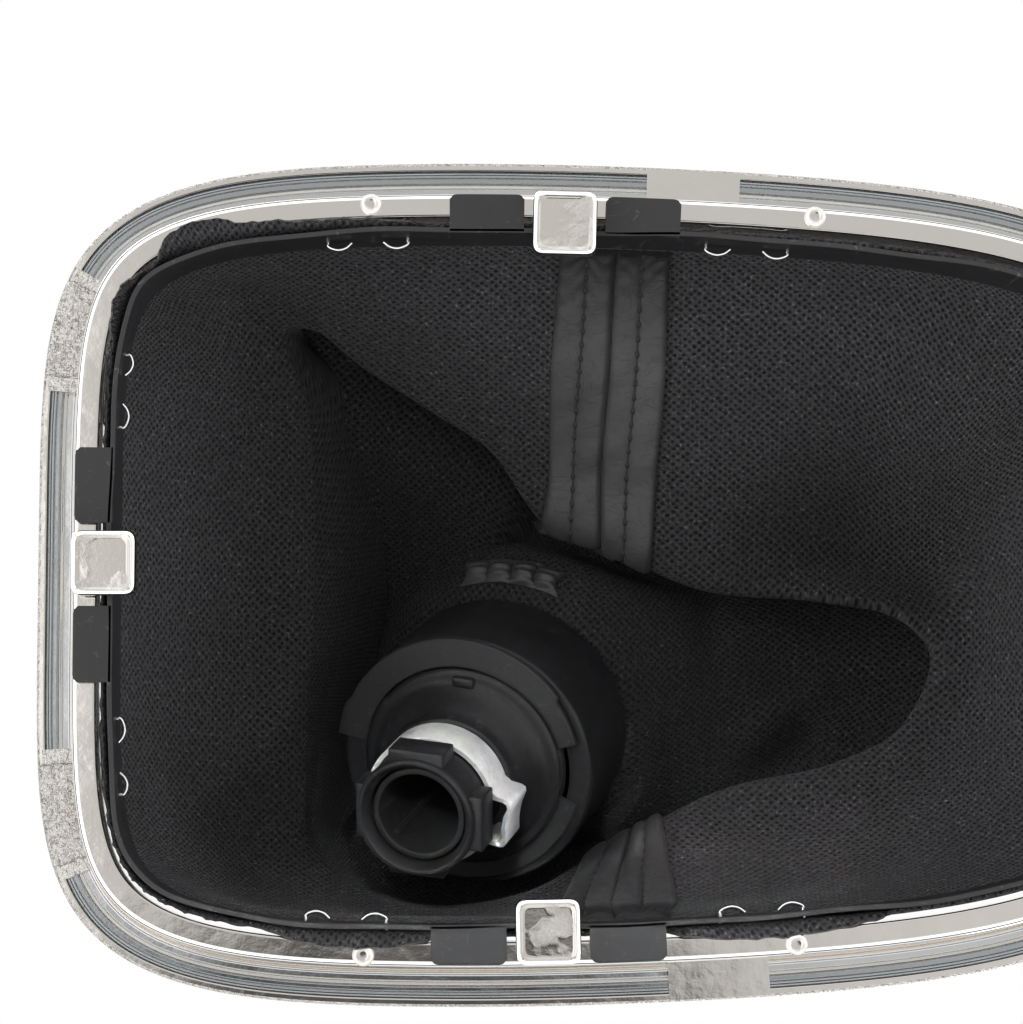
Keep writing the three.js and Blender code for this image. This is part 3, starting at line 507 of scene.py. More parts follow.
def roundCorners(corners, steps=4, closed=True):
    # corners: rows of (a, b, radius); each corner becomes a short curve
    corners = np.asarray(corners, float)
    count = len(corners)
    out = []
    for i in range(count):
        here, radius = corners[i, :2], corners[i, 2]
        if radius <= 0 or (not closed and i in (0, count - 1)):
            out.append(here)
            continue
        before, after = corners[i - 1, :2] - here, corners[(i + 1) % count, :2] - here
        start = here + unit(before) * min(radius, 0.46 * np.linalg.norm(before))
        end = here + unit(after) * min(radius, 0.46 * np.linalg.norm(after))
        for t in np.linspace(0, 1, steps + 1):
            out.append((1 - t) ** 2 * start + 2 * t * (1 - t) * here + t * t * end)
    return np.array(out)


def holdFlats(outline, least=0.45, near=0.05):
    # Adds a point close to both ends of each long straight run, so that it shades as a flat face
    held = []
    for here, after in zip(outline, np.roll(outline, -1, 0)):
        held.append(here)
        length = np.linalg.norm(after - here)
        if length > least:
            held += [here + (after - here) * near / length, after - (after - here) * near / length]
    return np.array(held)


def spline(points, places, closed=False):
    # Centripetal curve through points (n, k, 3) at places counted in points
    points = np.asarray(points, float)
    count = points.shape[1]
    if closed:
        padded = np.concatenate([points[:, -1:], points, points[:, :3]], 1)
        index = np.floor(places).astype(int) % count
    else:
        first = 2 * points[:, :1] - points[:, 1:2]
        last = 2 * points[:, -1:] - points[:, -2:-1]
        padded = np.concatenate([first, points, last], 1)
        index = np.minimum(np.floor(places).astype(int), count - 2)
    t = (places - np.floor(places) if closed else places - index)[None, :, None]
    p0, p1, p2, p3 = (padded[:, index + k] for k in range(4))
    d0, d1, d2 = (
        np.sqrt(np.linalg.norm(b - a, axis=2, keepdims=True))
        for a, b in ((p0, p1), (p1, p2), (p2, p3))
    )
    m1 = ((p1 - p0) / d0 - (p2 - p0) / (d0 + d1) + (p2 - p1) / d1) * d1
    m2 = ((p2 - p1) / d1 - (p3 - p1) / (d1 + d2) + (p3 - p2) / d2) * d1
    c2 = -3 * p1 + 3 * p2 - 2 * m1 - m2
    c3 = 2 * p1 - 2 * p2 + m1 + m2
    return p1 + m1 * t + c2 * t**2 + c3 * t**3


def tube(path, radius, sides=8):
    # A round wire along path (n, 3), closed at both ends
    path = np.asarray(path, float)
    along = unit(np.gradient(path, axis=0))
    aslant = np.array([0.31, 0.52, 0.79])
    side = unit(np.cross(along, aslant))
    for i in range(1, len(path)):
        side[i] = side[i - 1] - along[i] * np.dot(side[i - 1], along[i])
    side = unit(side)
    other = np.cross(along, side)
    angles = np.arange(sides) * turn / sides
    c, d = np.cos(angles)[None, :, None], np.sin(angles)[None, :, None]
    ring = c * side[:, None] + d * other[:, None]
    radii = np.broadcast_to(np.asarray(radius, float), (len(path),))[:, None, None]
    points = (path[:, None] + ring * radii).reshape(-1, 3)
    faces = gridFaces(len(path), sides, closeColumns=True, flip=True).tolist()
    return points, faces + endFaces(len(path), sides)


# Outline of the frame
outlineSettings = {
    "length": 176, "width": 126, "narrowing": 9, "widestX": -28, "power": 4.9, "steps": 6000,
    "chord": 1.5, "turnWeight": 34,
}


def traceOutline(s):
    share = np.arange(s["steps"] + 1) / s["steps"]
    angle = share * turn - 0.22 * np.sin(4 * share * turn)
    c, d = np.cos(angle), np.sin(angle)
    power = 2 / s["power"]
    x = s["length"] / 2 * np.sign(c) * np.abs(c) ** power
    past = np.maximum(0, x - s["widestX"]) / (s["length"] / 2 - s["widestX"])
    y = (s["width"] / 2 - s["narrowing"] * past**2) * np.sign(d) * np.abs(d) ** power
    points = np.stack([x, y], 1)
    walked = np.concatenate([[0], np.cumsum(np.linalg.norm(np.diff(points, axis=0), axis=1))])
    return points, walked


tracePoints, traceWalk = traceOutline(outlineSettings)
traceLength = traceWalk[-1]


def tracedPoint(distance):
    wanted = np.mod(distance, traceLength)
    return np.stack([np.interp(wanted, traceWalk, tracePoints[:, k]) for k in (0, 1)], -1)


def stationAt(distance):
    distance = np.asarray(distance, float)
    chord = outlineSettings["chord"]
    along = unit(tracedPoint(distance + chord) - tracedPoint(distance - chord))
    inward = np.stack([-along[..., 1], along[..., 0]], -1)
    return tracedPoint(distance), along, inward


def distanceNear(x, y):
    return traceWalk[np.argmin(np.hypot(tracePoints[:, 0] - x, tracePoints[:, 1] - y))]


def insetPoint(distance, inset, z):
    point, _, inward = stationAt(distance)
    flat = point + inward * np.asarray(inset, float)[..., None]
    height = np.broadcast_to(np.asarray(z, float), flat.shape[:-1])
    return np.concatenate([flat, height[..., None]], -1)


def sweepPoints(section, distances):
    # section (m, 2) of inset and height, distances (n): points (n, m, 3)
    point, _, inward = stationAt(distances)
    flat = point[:, None] + inward[:, None] * section[None, :, :1]
    height = np.broadcast_to(section[None, :, 1:], flat[..., :1].shape)
    return np.concatenate([flat, height], -1)


def evenStations(count):
    # Stations that stand closer together where the outline turns more
    walk = np.linspace(0, traceLength, 1500)
    _, along, _ = stationAt(walk)
    bend = np.arccos(np.clip((along[1:] * along[:-1]).sum(1), -1, 1))
    load = np.concatenate([[0], np.cumsum(np.diff(walk) + outlineSettings["turnWeight"] * bend)])
    return np.interp(np.arange(count) / count * load[-1], load, walk)


def placeAtStation(points, distance, inset, z):
    point, along, inward = stationAt(distance)
    flat = point + inward * inset
    origin = np.array([flat[0], flat[1], z])
    axes = np.array([[along[0], along[1], 0], [inward[0], inward[1], 0], [0, 0, 1]])
    return origin + np.asarray(points) @ axes


def roundedSquare(size, radius, steps=5):
    half = size / 2
    signs = ((1, -1), (1, 1), (-1, 1), (-1, -1))
    return roundCorners([(a * half, b * half, radius) for a, b in signs], steps)


def stackedRings(outline, rings):
    # rings: rows of (shrink, height); joins scaled copies of an outline and closes both ends
    reach = np.abs(outline).max()
    count = len(outline)
    points = []
    for shrink, height in rings:
        scaled = outline * (1 - shrink / reach)
        points.append(np.column_stack([scaled, np.full(count, height)]))
    faces = gridFaces(len(rings), count, closeColumns=True, flip=True).tolist()
    return np.concatenate(points), faces + endFaces(len(rings), count)


# Trim frame
trimSettings = {
    "rimZ": 13, "roofZ": 15.2, "crownZ": 18.5, "ledgeZ": 5, "ledgeOuter": 6, "ledgeInner": 9.7,
    "stations": 560, "padStep": 0.35, "ribLength": 2.2, "markRadius": 1.65,
    "hookSize": 9.4, "hookHead": 2.6,
    "hooks": [(-9.5, -57), (-12.1, 57), (-82, -1.4), (82, 0)],
    "smoothPads": [(2.6, -61, 16.9, -60.5), (5.8, 61, 20.6, 60.5)],
    "roughPads": [(-83.5, -47.5, -87.3, -28.5), (-86.8, 25.2, -83.5, 44.4),
                  (83.5, -40, 87.3, -24), (87.3, 24, 83.5, 40)],
    "marks": [(-38.3, -56), (27.5, -54), (-39, 56), (23.9, 54)],
}


def trimSection(s):
    crown, rim, roof, ledge = s["crownZ"], s["rimZ"], s["roofZ"], s["ledgeZ"]
    outer, inner = s["ledgeOuter"], s["ledgeInner"]
    return holdFlats(roundCorners([
        (0, rim, 0.35), (0, rim + 1.8, 0.9), (0.7, crown - 1.8, 0.9), (2.2, crown - 0.6, 1.1),
        (4.6, crown, 1.4), (7.6, crown - 0.4, 1.2), (9.3, crown - 1.4, 0.7),
        (inner, crown - 2.7, 0.8), (inner, ledge, 0.4),
        (outer + 0.3, ledge, 0.62), (outer, ledge + 1.2, 0.6), (outer, roof, 0.3),
        (outer - 0.7, roof, 0.15), (outer - 0.85, roof - 0.55, 0.12),
        (outer - 1.25, roof - 0.55, 0.12), (outer - 1.4, roof, 0.15), (3.6, roof, 0.15),
        (3.5, roof - 0.4, 0.1), (3.1, roof - 0.45, 0.15), (2.9, roof - 1.1, 0.12),
        (2.2, roof - 1.1, 0.1), (2.05, roof - 1.5, 0.1),
        (1.75, roof - 1.5, 0.1), (1.6, roof - 1.1, 0.1), (1.3, roof - 1.2, 0.1), (1.3, rim, 0.3),
    ], 3))


# The trim frame's materials, in the order of its list: plain faces, rough pads, the groove's
# floor in a darker bluish chrome as painted shade, the ledge's fillet in a brighter chrome as a
# painted highlight, the hooks' cast faces, the bands beside the groove in a greyer chrome as a
# painted reflection
plainFace, roughFace, shadedGrooveFace, highlightFilletFace, castFace, reflectionBandFace = range(6)


def bandKinds(s, section):
    inset, z = ((section + np.roll(section, -1, 0)) / 2).T
    inside = (inset < s["ledgeOuter"] - 0.02) & (z > s["rimZ"] + 0.3) & (z < s["roofZ"] + 0.1)
    deep = inside & (inset > 1.25) & (inset < 2.95)
    pale = inside & (inset >= 2.95) & (inset < 4.9)
    fillet = (inset > s["ledgeOuter"] - 0.3) & (inset < s["ledgeOuter"] + 1.1)
    fillet &= (z < s["ledgeZ"] + 1.6) & (np.abs(z - s["ledgeZ"]) > 0.004)
    edge = (inset < 0.40) & (z < s["rimZ"] + 0.5) & (inset > 0.001)
    # Painted light on one chrome: darker in the groove for shade, brighter on the fillet for a
    # highlight, greyer beside the groove for a reflection
    kinds = [highlightFilletFace, shadedGrooveFace, reflectionBandFace, roughFace]
    return np.select([fillet, deep, pale, edge], kinds, plainFace)


def hookShape(s, distance, parts):
    size, head = s["hookSize"], s["hookHead"]
    outline = roundedSquare(size, 1.5)
    rings = [(1.4, 0.12), (1.3, 0.12), (0.95, 0.1), (0.7, 0.0), (0.45, 0.03), (0.15, 0.2),
             (0.0, 0.5), (0.0, head - 0.4), (0.12, head - 0.1), (0.4, head)]
    points, faces = stackedRings(outline, rings)
    middles = np.array([points[list(face)].mean(0) for face in faces])
    reach, height = np.abs(middles[:, :2]).max(1), middles[:, 2]
    # The lip round the hook's foot takes the brighter chrome, a painted highlight
    lip = (height < 0.6) & (reach > size / 2 - 0.72)
    parts.add(placeAtStation(points, distance, s["ledgeOuter"] + 0.5 + size / 2, 0), faces,
              np.where(lip, highlightFilletFace, np.where(height < 0.3, castFace, plainFace)))
    depth = s["ledgeInner"] - s["ledgeOuter"] - 0.8
    post = roundedSquare(1.0, 0.08, 2) * np.array([size - 1, depth])
    points, faces = stackedRings(post, [(0, 1.0), (0, s["ledgeZ"] + 1)])
    parts.add(placeAtStation(points, distance, s["ledgeOuter"] + 0.6 + depth / 2, 0), faces)


def padShape(s, ends, parts, rough):
    start, end = sorted((distanceNear(*ends[:2]), distanceNear(*ends[2:])))
    low = s["rimZ"] - 0.3
    steps = int((end - start) / s["padStep"])
    insets = np.concatenate([[0.25, 0.25], np.linspace(0.3, 6.4, 24), [6.5, 6.5]])
    heights = np.full(len(insets), low)
    heights[[0, -1]] = s["roofZ"] + 0.6
    heights[[1, -2]] = low + 0.12
    walk = np.linspace(start, end, steps + 1)
    section = np.stack([insets, heights], 1)
    points = sweepPoints(section, walk)
    if rough:
        inside = (walk > start + s["ribLength"]) & (walk < end - s["ribLength"])
        bumps = rng.normal(0, 0.13, (len(walk), len(insets) - 4))
        points[:, 2:-2, 2] += np.where(inside[:, None], np.clip(bumps, -0.25, 0.25), 0)
        ribs = 0.14 * (np.sin(np.arange(len(insets) - 4) * 1.9) > 0)
        points[:, 2:-2, 2] += np.where(inside[:, None], 0, ribs[None] + 0.25)
    faces = gridFaces(len(walk), len(insets)).tolist()
    faces += endFaces(len(walk), len(insets), True)
    parts.add(points, faces, roughFace if rough else plainFace)


def markShape(s, place, parts):
    angles = np.arange(28) * turn / 28
    circle = np.stack([np.cos(angles), np.sin(angles)], 1) * s["markRadius"]
    rings = [(1.2, -0.06), (0.45, -0.1), (0.25, -0.22), (0.05, -0.18), (0, 0.15)]
    points, faces = stackedRings(circle, rings)
    middle = (s["ledgeOuter"] + s["ledgeInner"]) / 2 - 0.2
    parts.add(placeAtStation(points, distanceNear(*place), middle, s["ledgeZ"]), faces)


def makeTrimFrame(s):
    parts = MeshParts()
    section = trimSection(s)
    stations = evenStations(s["stations"])
    points = sweepPoints(section, stations)
    parts.add(points, gridFaces(len(stations), len(section), True, True),
              np.tile(bandKinds(s, section), len(stations)))
    for place in s["hooks"]:
        hookShape(s, distanceNear(*place), parts)
    for pads, rough in (("smoothPads", False), ("roughPads", True)):
        for ends in s[pads]:
            padShape(s, ends, parts, rough)
    for place in s["marks"]:
        markShape(s, place, parts)
    metals = [chrome, roughChrome, shadedGrooveChrome, highlightChrome, castChrome, reflectionChrome]
    return parts.make("trimFrame", metals, ["trim_frame"], 32)


makeTrimFrame(trimSettings)
print("trim frame: section, hooks, pads and marks")


# Carrier frame
carrierSettings = {
    "wallOuter": 11.5, "wallThickness": 0.75, "bottomZ": 3.2, "topZ": 15,
    "footOuter": 6.5, "footThickness": 1.6, "footLength": 11.2, "footFromHook": 11.7,
    "footSteps": 21, "footRounding": 0.9, "stations": 480,
}


def makeCarrierFrame(s, hooks):
    parts = MeshParts()
    outer, inner = s["wallOuter"], s["wallOuter"] + s["wallThickness"]
    bottom, top = s["bottomZ"], s["topZ"]
    wall = roundCorners([(outer, bottom, 0.2), (outer, top, 0.3), (inner, top, 0.3),
                         (inner, bottom, 0.2)], 4)
    stations = evenStations(s["stations"])
    points = sweepPoints(wall, stations)
    # The free edge is a little uneven, as a long thin moulding is
    _, _, inward = stationAt(stations)
    phase = stations / traceLength * turn
    sway = 0.22 * np.sin(11 * phase + 1) + 0.15 * np.sin(23 * phase)
    low = np.clip((bottom + 5 - points[..., 2]) / 5, 0, 1)
    points[..., :2] += inward[:, None] * (sway[:, None] * low)[..., None] * 0.8
    height = (wall[:, 1] + np.roll(wall[:, 1], -1)) / 2
    # The wall is a darker copy of the frame's plastic, painted shade, and its free edge a lighter
    # one, a painted highlight
    shadedWallKind, highlightEdgeKind = 1, 2
    kinds = np.tile(np.where(height < bottom + 0.22, highlightEdgeKind, shadedWallKind), len(stations))
    parts.add(points, gridFaces(len(stations), len(wall), True, True), kinds)
    thick = s["footThickness"]
    for place in hooks:
        middle = distanceNear(*place)
        for side in (-1, 1):
            centre = middle + side * s["footFromHook"]
            foot = roundCorners([
                (s["footOuter"], bottom, 0.45), (s["footOuter"], bottom + thick, 0.2),
                (outer + 0.6, bottom + thick, 0), (outer + 0.6, bottom, 0)], 4)
            start, end = centre - s["footLength"] / 2, centre + s["footLength"] / 2
            walk = np.linspace(start, end, s["footSteps"])
            body = sweepPoints(foot, walk)
            near = np.minimum(walk - start, end - walk)
            pull = np.clip(1 - near / s["footRounding"], 0, 1) ** 2 * 0.7
            _, _, into = stationAt(walk)
            front = np.clip((outer - 2 - foot[:, 0]) / 3, 0, 1)
            body[..., :2] += into[:, None] * (pull[:, None] * front[None])[..., None]
            faces = gridFaces(len(walk), len(foot), closeColumns=True).tolist()
            parts.add(body, faces + endFaces(len(walk), len(foot), True))
    plastics = [framePlastic, shadedWallPlastic, highlightEdgePlastic]
    return parts.make("carrierFrame", plastics, ["carrier_frame"], 35)


makeCarrierFrame(carrierSettings, trimSettings["hooks"])
print("carrier frame: wall and feet")


# Knob, in its own axes
knobSettings = {
    "seat": (-18.5, 19, 62), "lean": 29.5, "towards": -50,
    "collarRadius": 20.6, "collarWall": 1.4, "collarLength": 19, "slot": 1.9,
    "discRadius": 16.2, "discZ": -21.6, "discThickness": 3.4,
    "neckRadius": 9.2, "neckEndZ": -43.4, "boreRadius": 7.7, "boreTopZ": -8,
    "clampWidth": 7.2, "clampTopZ": -29, "clampThickness": 0.8,
    "earHeight": 2.6, "earWidth": 9.4, "earAngle": 10,
    "clipInner": 15.6, "clipOuter": 20.2, "clipThickness": 1.2, "clipShift": 0.8,
    "blocks": ((0, 1.45), (90, 0.5), (180, 0.5), (270, 1.45)), "blockWidth": 8.8,
    "webAngle": 38, "webWidth": 1.4, "nubAngle": 272, "ribAngle": 135, "clipTurn": 225,
    "stitchPitch": 2.9, "postRadius": 11, "gripTopZ": 53.5, "capRadius": 16.8, "capHeight": 5,
    "segments": 144,
}
gripOutline = [(18.4, 6.6), (17.6, 12), (18.6, 18), (21.4, 26), (24, 34), (24.9, 40),
               (24.2, 46), (21.6, 51), (18.6, 53.5)]

leanAngle, towardsAngle = math.radians(knobSettings["lean"]), math.radians(knobSettings["towards"])
knobUp = np.array([
    math.sin(leanAngle) * math.cos(towardsAngle),
    math.sin(leanAngle) * math.sin(towardsAngle),
    math.cos(leanAngle),
])
knobX = unit(np.array([1.0, 0, 0]) - knobUp * knobUp[0])
knobY = np.cross(knobUp, knobX)
knobSeat = np.array(knobSettings["seat"], float)
knobAxes = np.array([knobX, knobY, knobUp])


def toKnob(points):
    return knobSeat + np.asarray(points, float) @ knobAxes


def knobPoint(angle, radius, height):
    angle, radius, height = np.broadcast_arrays(angle, radius, height)
    return toKnob(np.stack([radius * np.cos(angle), radius * np.sin(angle), height], -1))


def turnedPart(parts, outline):
    # outline (m, 2) of radius and height, closed on itself
    outline = np.asarray(outline, float)
    angles = turn * np.arange(knobSettings["segments"]) / knobSettings["segments"]
    points = knobPoint(angles[:, None], outline[None, :, 0], outline[None, :, 1])
    parts.add(points, gridFaces(len(angles), len(outline), True, True))


def spin(angle):
    c, d = math.cos(angle), math.sin(angle)
    return np.array([[c, d, 0], [-d, c, 0], [0, 0, 1]])


def blockPart(parts, angle, low, high, bevel):
    # A bevelled block between two corners in a frame turned about the knob's axis
    low, high = np.array(low, float), np.array(high, float)
    centre, half = (low + high) / 2, (high - low) / 2
    outline = roundCorners([(half[0], -half[1], bevel), (half[0], half[1], bevel),
                            (-half[0], half[1], bevel), (-half[0], -half[1], bevel)], 3)
    rings = [(bevel, -half[2]), (0.3 * bevel, -half[2] + 0.3 * bevel), (0, -half[2] + bevel),
             (0, half[2] - bevel), (0.3 * bevel, half[2] - 0.3 * bevel), (bevel, half[2])]
    count = len(outline)
    points = []
    for shrink, height in rings:
        scale = (half[:2] - shrink) / half[:2]
        points.append(np.column_stack([outline * scale, np.full(count, height)]))
    points = np.concatenate(points) + centre
    faces = gridFaces(len(rings), count, closeColumns=True, flip=True).tolist()
    parts.add(toKnob(points @ spin(angle)), faces + endFaces(len(rings), count))


def makeKnobCore(s):
    parts = MeshParts()
    neck, bore, disc = s["neckRadius"], s["boreRadius"], s["discRadius"]
    clampTop, end, discZ = s["clampTopZ"], s["neckEndZ"], s["discZ"]
    grooveTop = -s["collarLength"]
    grooveBottom = grooveTop - s["clipThickness"] - 0.6
    grooveRadius = s["clipInner"] - s["clipShift"] - 0.3
    bellTop = discZ + s["discThickness"]
    outline = roundCorners([
        (bore + 0.9, end, 0.25), (neck, end, 0.25), (neck + 0.3, end + 0.6, 0.3),
        (neck, clampTop, 0.2), (neck + 1.4, clampTop + 0.4, 0.4), (neck + 1.7, clampTop + 2, 0.8),
        (neck + 3.8, discZ - 1.6, 1.2), (disc - 2.0, discZ - 0.15, 0.6),
        (disc - 0.5, discZ - 0.1, 0.3), (disc, discZ + 0.3, 0.2), (disc, grooveBottom, 0.1),
        (grooveRadius, grooveBottom, 0),
        (grooveRadius, grooveTop, 0), (disc, grooveTop, 0.1), (disc, bellTop, 0.3),
        (s["postRadius"] + 3, bellTop + 1, 1), (s["postRadius"], bellTop + 4, 1),
        (s["postRadius"], s["gripTopZ"] - 2, 0.3), (0.05, s["gripTopZ"] - 2, 0),
        (0.05, s["boreTopZ"], 0), (bore, s["boreTopZ"], 0.3), (bore, end + 1.6, 0.5),
    ], 4)
    turnedPart(parts, outline)
    lipTop = clampTop - s["clampWidth"] - 1.2
    wide, thin = s["blockWidth"] / 2, s["webWidth"] / 2
    for angle, out in s["blocks"]:
        blockPart(parts, math.radians(angle), (neck - 1.0, -wide, end + 0.7),
                  (neck + out, wide, lipTop), 0.35)
        corners = np.array([(neck - 0.4, clampTop + 1), (disc - 1.2, discZ + 0.8),
                            (neck - 0.4, discZ + 0.8)])
        flat = [(x, y, z) for y in (-thin, thin) for x, z in corners]
        flat = np.array(flat) @ spin(math.radians(angle + s["webAngle"]))
        parts.add(toKnob(flat), [(0, 1, 2), (5, 4, 3), (0, 3, 4, 1), (1, 4, 5, 2), (2, 5, 3, 0)])
    blockPart(parts, math.radians(s["nubAngle"]), (disc - 2.6, -1.8, discZ - 1.0),
              (disc - 0.9, 1.8, discZ + 0.6), 0.5)
    return parts.make("knobCore", [corePlastic], ["knob_core"], 35)


def makeBush(s):
    parts = MeshParts()
    outer = s["boreRadius"] - 0.3
    inner = outer - 1
    low, high = -41.4, s["boreTopZ"] - 0.4
    turnedPart(parts, roundCorners([(inner, low, 0.3), (outer, low, 0.3), (outer, high, 0.2),
                                    (inner, high, 0.2)], 3))
    blockPart(parts, math.radians(s["ribAngle"]), (inner - 0.75, -0.45, low + 2),
              (inner + 0.7, 0.45, low + 26), 0.2)
    return parts.make("leverBush", [bushRubber], ["lever_bush"], 35)


def makeCollar(s):
    parts = MeshParts()
    radius, length = s["collarRadius"], s["collarLength"]
    inner, lip = radius - s["collarWall"], s["discRadius"] + 0.7
    turnedPart(parts, roundCorners([
        (lip, -length, 0.2), (radius - 0.3, -length, 0.3), (radius, -length + 0.4, 0.3),
        (radius, 0, 0.5), (inner - 1, 0, 0.2), (inner - 1, -2, 0.2), (inner, -3, 0.3),
        (inner, -length + 1.6, 0.2), (lip, -length + 1.6, 0.2)], 3))
    return parts.make("gaiterCollar", [collarPlastic], ["gaiter_collar"], 35)


def makeClip(s):
    parts = MeshParts()
    inner, outer = s["clipInner"], s["clipOuter"]
    spans = [(outer + 0.5, 186, 202), (outer, 204, 322), (outer - 0.7, 324, 345),
             (inner + 1, 346, 374), (outer - 0.4, 376, 460)]
    angles, reach = [], []
    for radius, start, end in spans:
        steps = max(2, int((end - start) / 2.5))
        angles += list(np.linspace(start, end, steps + 1))
        reach += [radius] * (steps + 1)
    angles, reach = np.radians(angles), np.array(reach)
    low, high, edge = 0.0, s["clipThickness"], 0.18
    atInner, inFromInner, inFromOuter, atOuter = range(4)
    profile = [(atInner, low + edge), (atInner, high - edge), (inFromInner, high),
               (inFromOuter, high), (atOuter, high - edge), (atOuter, low + edge),
               (inFromOuter, low), (inFromInner, low)]
    rows = []
    slide = math.radians(s["clipTurn"])
    shift = np.array([math.cos(slide), math.sin(slide)]) * s["clipShift"]
    for angle, radius in zip(angles, reach):
        radii = (inner, inner + edge, radius - edge, radius)
        ring = []
        for kind, height in profile:
            r = radii[kind]
            ring.append((r * math.cos(angle) + shift[0], r * math.sin(angle) + shift[1],
                         height - s["collarLength"] - 0.3 - s["clipThickness"]))
        rows.append(ring)
    points = toKnob(np.array(rows).reshape(-1, 3))
    faces = gridFaces(len(rows), len(profile), closeColumns=True).tolist()
    parts.add(points, faces + endFaces(len(rows), len(profile), True))
    return parts.make("retainingClip", [framePlastic], ["retaining_clip"], 35)


def makeClamp(s):
    parts = MeshParts()
    inner = s["neckRadius"] + 0.35
    outer = inner + s["clampThickness"]
    halfEar = math.asin(s["earWidth"] / 2 / outer)
    side = s["earWidth"] / 2 - 0.6
    tip = outer + s["earHeight"]

    def contour(radius, top, width):
        angles = np.linspace(halfEar, turn - halfEar, 110)
        arc = [(radius * math.cos(a), radius * math.sin(a)) for a in angles]
        foot = radius * math.cos(halfEar) + 1.1
        ear = [(foot, -width), (top - 0.9, -width), (top - 0.25, -width + 0.25),
               (top, -width + 0.9), (top - 0.35, -width / 3), (top - 0.4, 0), (top - 0.35, width / 3),
               (top, width - 0.9), (top - 0.25, width - 0.25), (top - 0.9, width), (foot, width)]
        return np.array(arc + ear)

    outerLine = contour(outer, tip, side)
    innerLine = contour(inner, tip - s["clampThickness"], side - s["clampThickness"])
    low, high, edge = s["clampTopZ"] - s["clampWidth"], s["clampTopZ"] - 0.3, 0.15
    between = (outerLine + innerLine) / 2
    layers = [(innerLine, low + edge), (innerLine, high - edge),
              (innerLine * 0.8 + between * 0.2, high), (outerLine * 0.8 + between * 0.2, high),
              (outerLine, high - edge), (outerLine, low + edge),
              (outerLine * 0.8 + between * 0.2, low), (innerLine * 0.8 + between * 0.2, low)]
    count = len(outerLine)
    earSpin = spin(math.radians(s["earAngle"]))[:2, :2]
    points = [np.column_stack([line @ earSpin, np.full(count, height)]) for line, height in layers]
    parts.add(toKnob(np.concatenate(points)), gridFaces(len(layers), count, True, True))
    return parts.make("earClamp", [zinc], ["ear_clamp"], 40)


def makeGrip(s):
    inner, slot = s["postRadius"] + 0.3, s["slot"]
    parts = MeshParts()
    top = slot + 4.4
    turnedPart(parts, roundCorners([
        (inner, slot, 0), (s["collarRadius"] - 0.9, slot, 0.5),
        (s["collarRadius"] - 0.3, slot + 0.7, 0.7), (s["collarRadius"] - 0.6, slot + 2.4, 1.2),
        (18.9, top - 0.4, 0.5), (18.4, top, 0.3), (inner, top, 0)], 5))
    parts.make("baseRing", [ringChrome], ["base_ring"], 35)

    line = np.array([(r, 0, z) for r, z in gripOutline])[None]
    curve = spline(line, np.linspace(0, len(gripOutline) - 1, 97))[0]
    profile = np.column_stack([curve[:, 0], curve[:, 2]])
    segments = 2 * s["segments"]
    angles = np.arange(segments) * turn / segments
    radii = np.broadcast_to(profile[None, :, 0], (segments, len(profile))).copy()
    # Two sewn seams down the grip, front and back, with a low ridge at each side
    for seam in (math.radians(90), math.radians(270)):
        off = np.abs((angles - seam + math.pi) % turn - math.pi)[:, None] * radii
        radii -= 0.55 * np.exp(-((off / 0.55) ** 2))
        radii += 0.18 * np.exp(-(((off - 2.0) / 1.3) ** 2))
    heights = np.broadcast_to(profile[None, :, 1], radii.shape)
    shell = knobPoint(angles[:, None], radii, heights)
    count = len(profile)
    parts = MeshParts()
    parts.add(shell, gridFaces(segments, count, True, False))
    for row, radius, height in ((0, inner, gripOutline[0][1]), (count - 1, inner, s["gripTopZ"])):
        ring = np.stack([shell[:, row], knobPoint(angles, radius, height)], 1)
        parts.add(ring, gridFaces(segments, 2, True, False, flip=row == 0))
    heights = (gripOutline[0][1], s["gripTopZ"])
    tubeWall = np.stack([knobPoint(angles, inner, height) for height in heights], 1)
    parts.add(tubeWall, gridFaces(segments, 2, True, False, flip=True))
    parts.make("knobGrip", [gripLeather], ["knob_grip"], 50)

    stitches = MeshParts()
    walked = np.concatenate([[0], np.cumsum(np.hypot(*np.diff(profile, axis=0).T))])
    for seam in (math.radians(90), math.radians(270)):
        for side in (-1, 1):
            for middle in np.arange(2.5, walked[-1] - 2, s["stitchPitch"]):
                along = middle + np.linspace(-1.05, 1.05, 7)
                r = np.interp(along, walked, profile[:, 0])
                z = np.interp(along, walked, profile[:, 1])
                lift = 0.26 - 0.5 * (np.linspace(-1, 1, 7) ** 4)
                path = knobPoint(seam + side * 2.2 / r, r + lift, z)
                stitches.add(*tube(path, 0.24, 6))
    stitches.make("gripStitches", [blackThread], (), 60)

    bottom = s["gripTopZ"] + 0.3
    parts = MeshParts()
    turnedPart(parts, roundCorners([
        (inner, bottom, 0), (18.7, bottom, 0.3), (18.9, bottom + 0.8, 0.6),
        (18.2, bottom + 1.8, 0.6), (17.4, bottom + 2.2, 0.3), (inner, bottom + 2.2, 0)], 5))
    parts.make("capRing", [ringChrome], ["cap_ring"], 35)

    bottom = s["gripTopZ"] + 0.6 + 2.2
    crown = [(s["capRadius"] * math.cos(a), bottom + 1.2 + (s["capHeight"] - 1.2) * math.sin(a))
             for a in np.linspace(0, turn / 4 - 0.003, 28)]
    outline = [(0.05, s["gripTopZ"] - 1.5), (s["postRadius"] - 1, s["gripTopZ"] - 1.5),
               (s["postRadius"] - 1, bottom), (s["capRadius"] - 0.3, bottom),
               (s["capRadius"], bottom + 0.3)] + crown
    parts = MeshParts()
    turnedPart(parts, outline)
    parts.make("knobCap", [glossPlastic], ["knob_cap"], 35)


for makeShape in (makeKnobCore, makeBush, makeCollar, makeClip, makeClamp, makeGrip):
    makeShape(knobSettings)
print("knob: core, bush, collar, clip, clamp, grip, rings and cap")


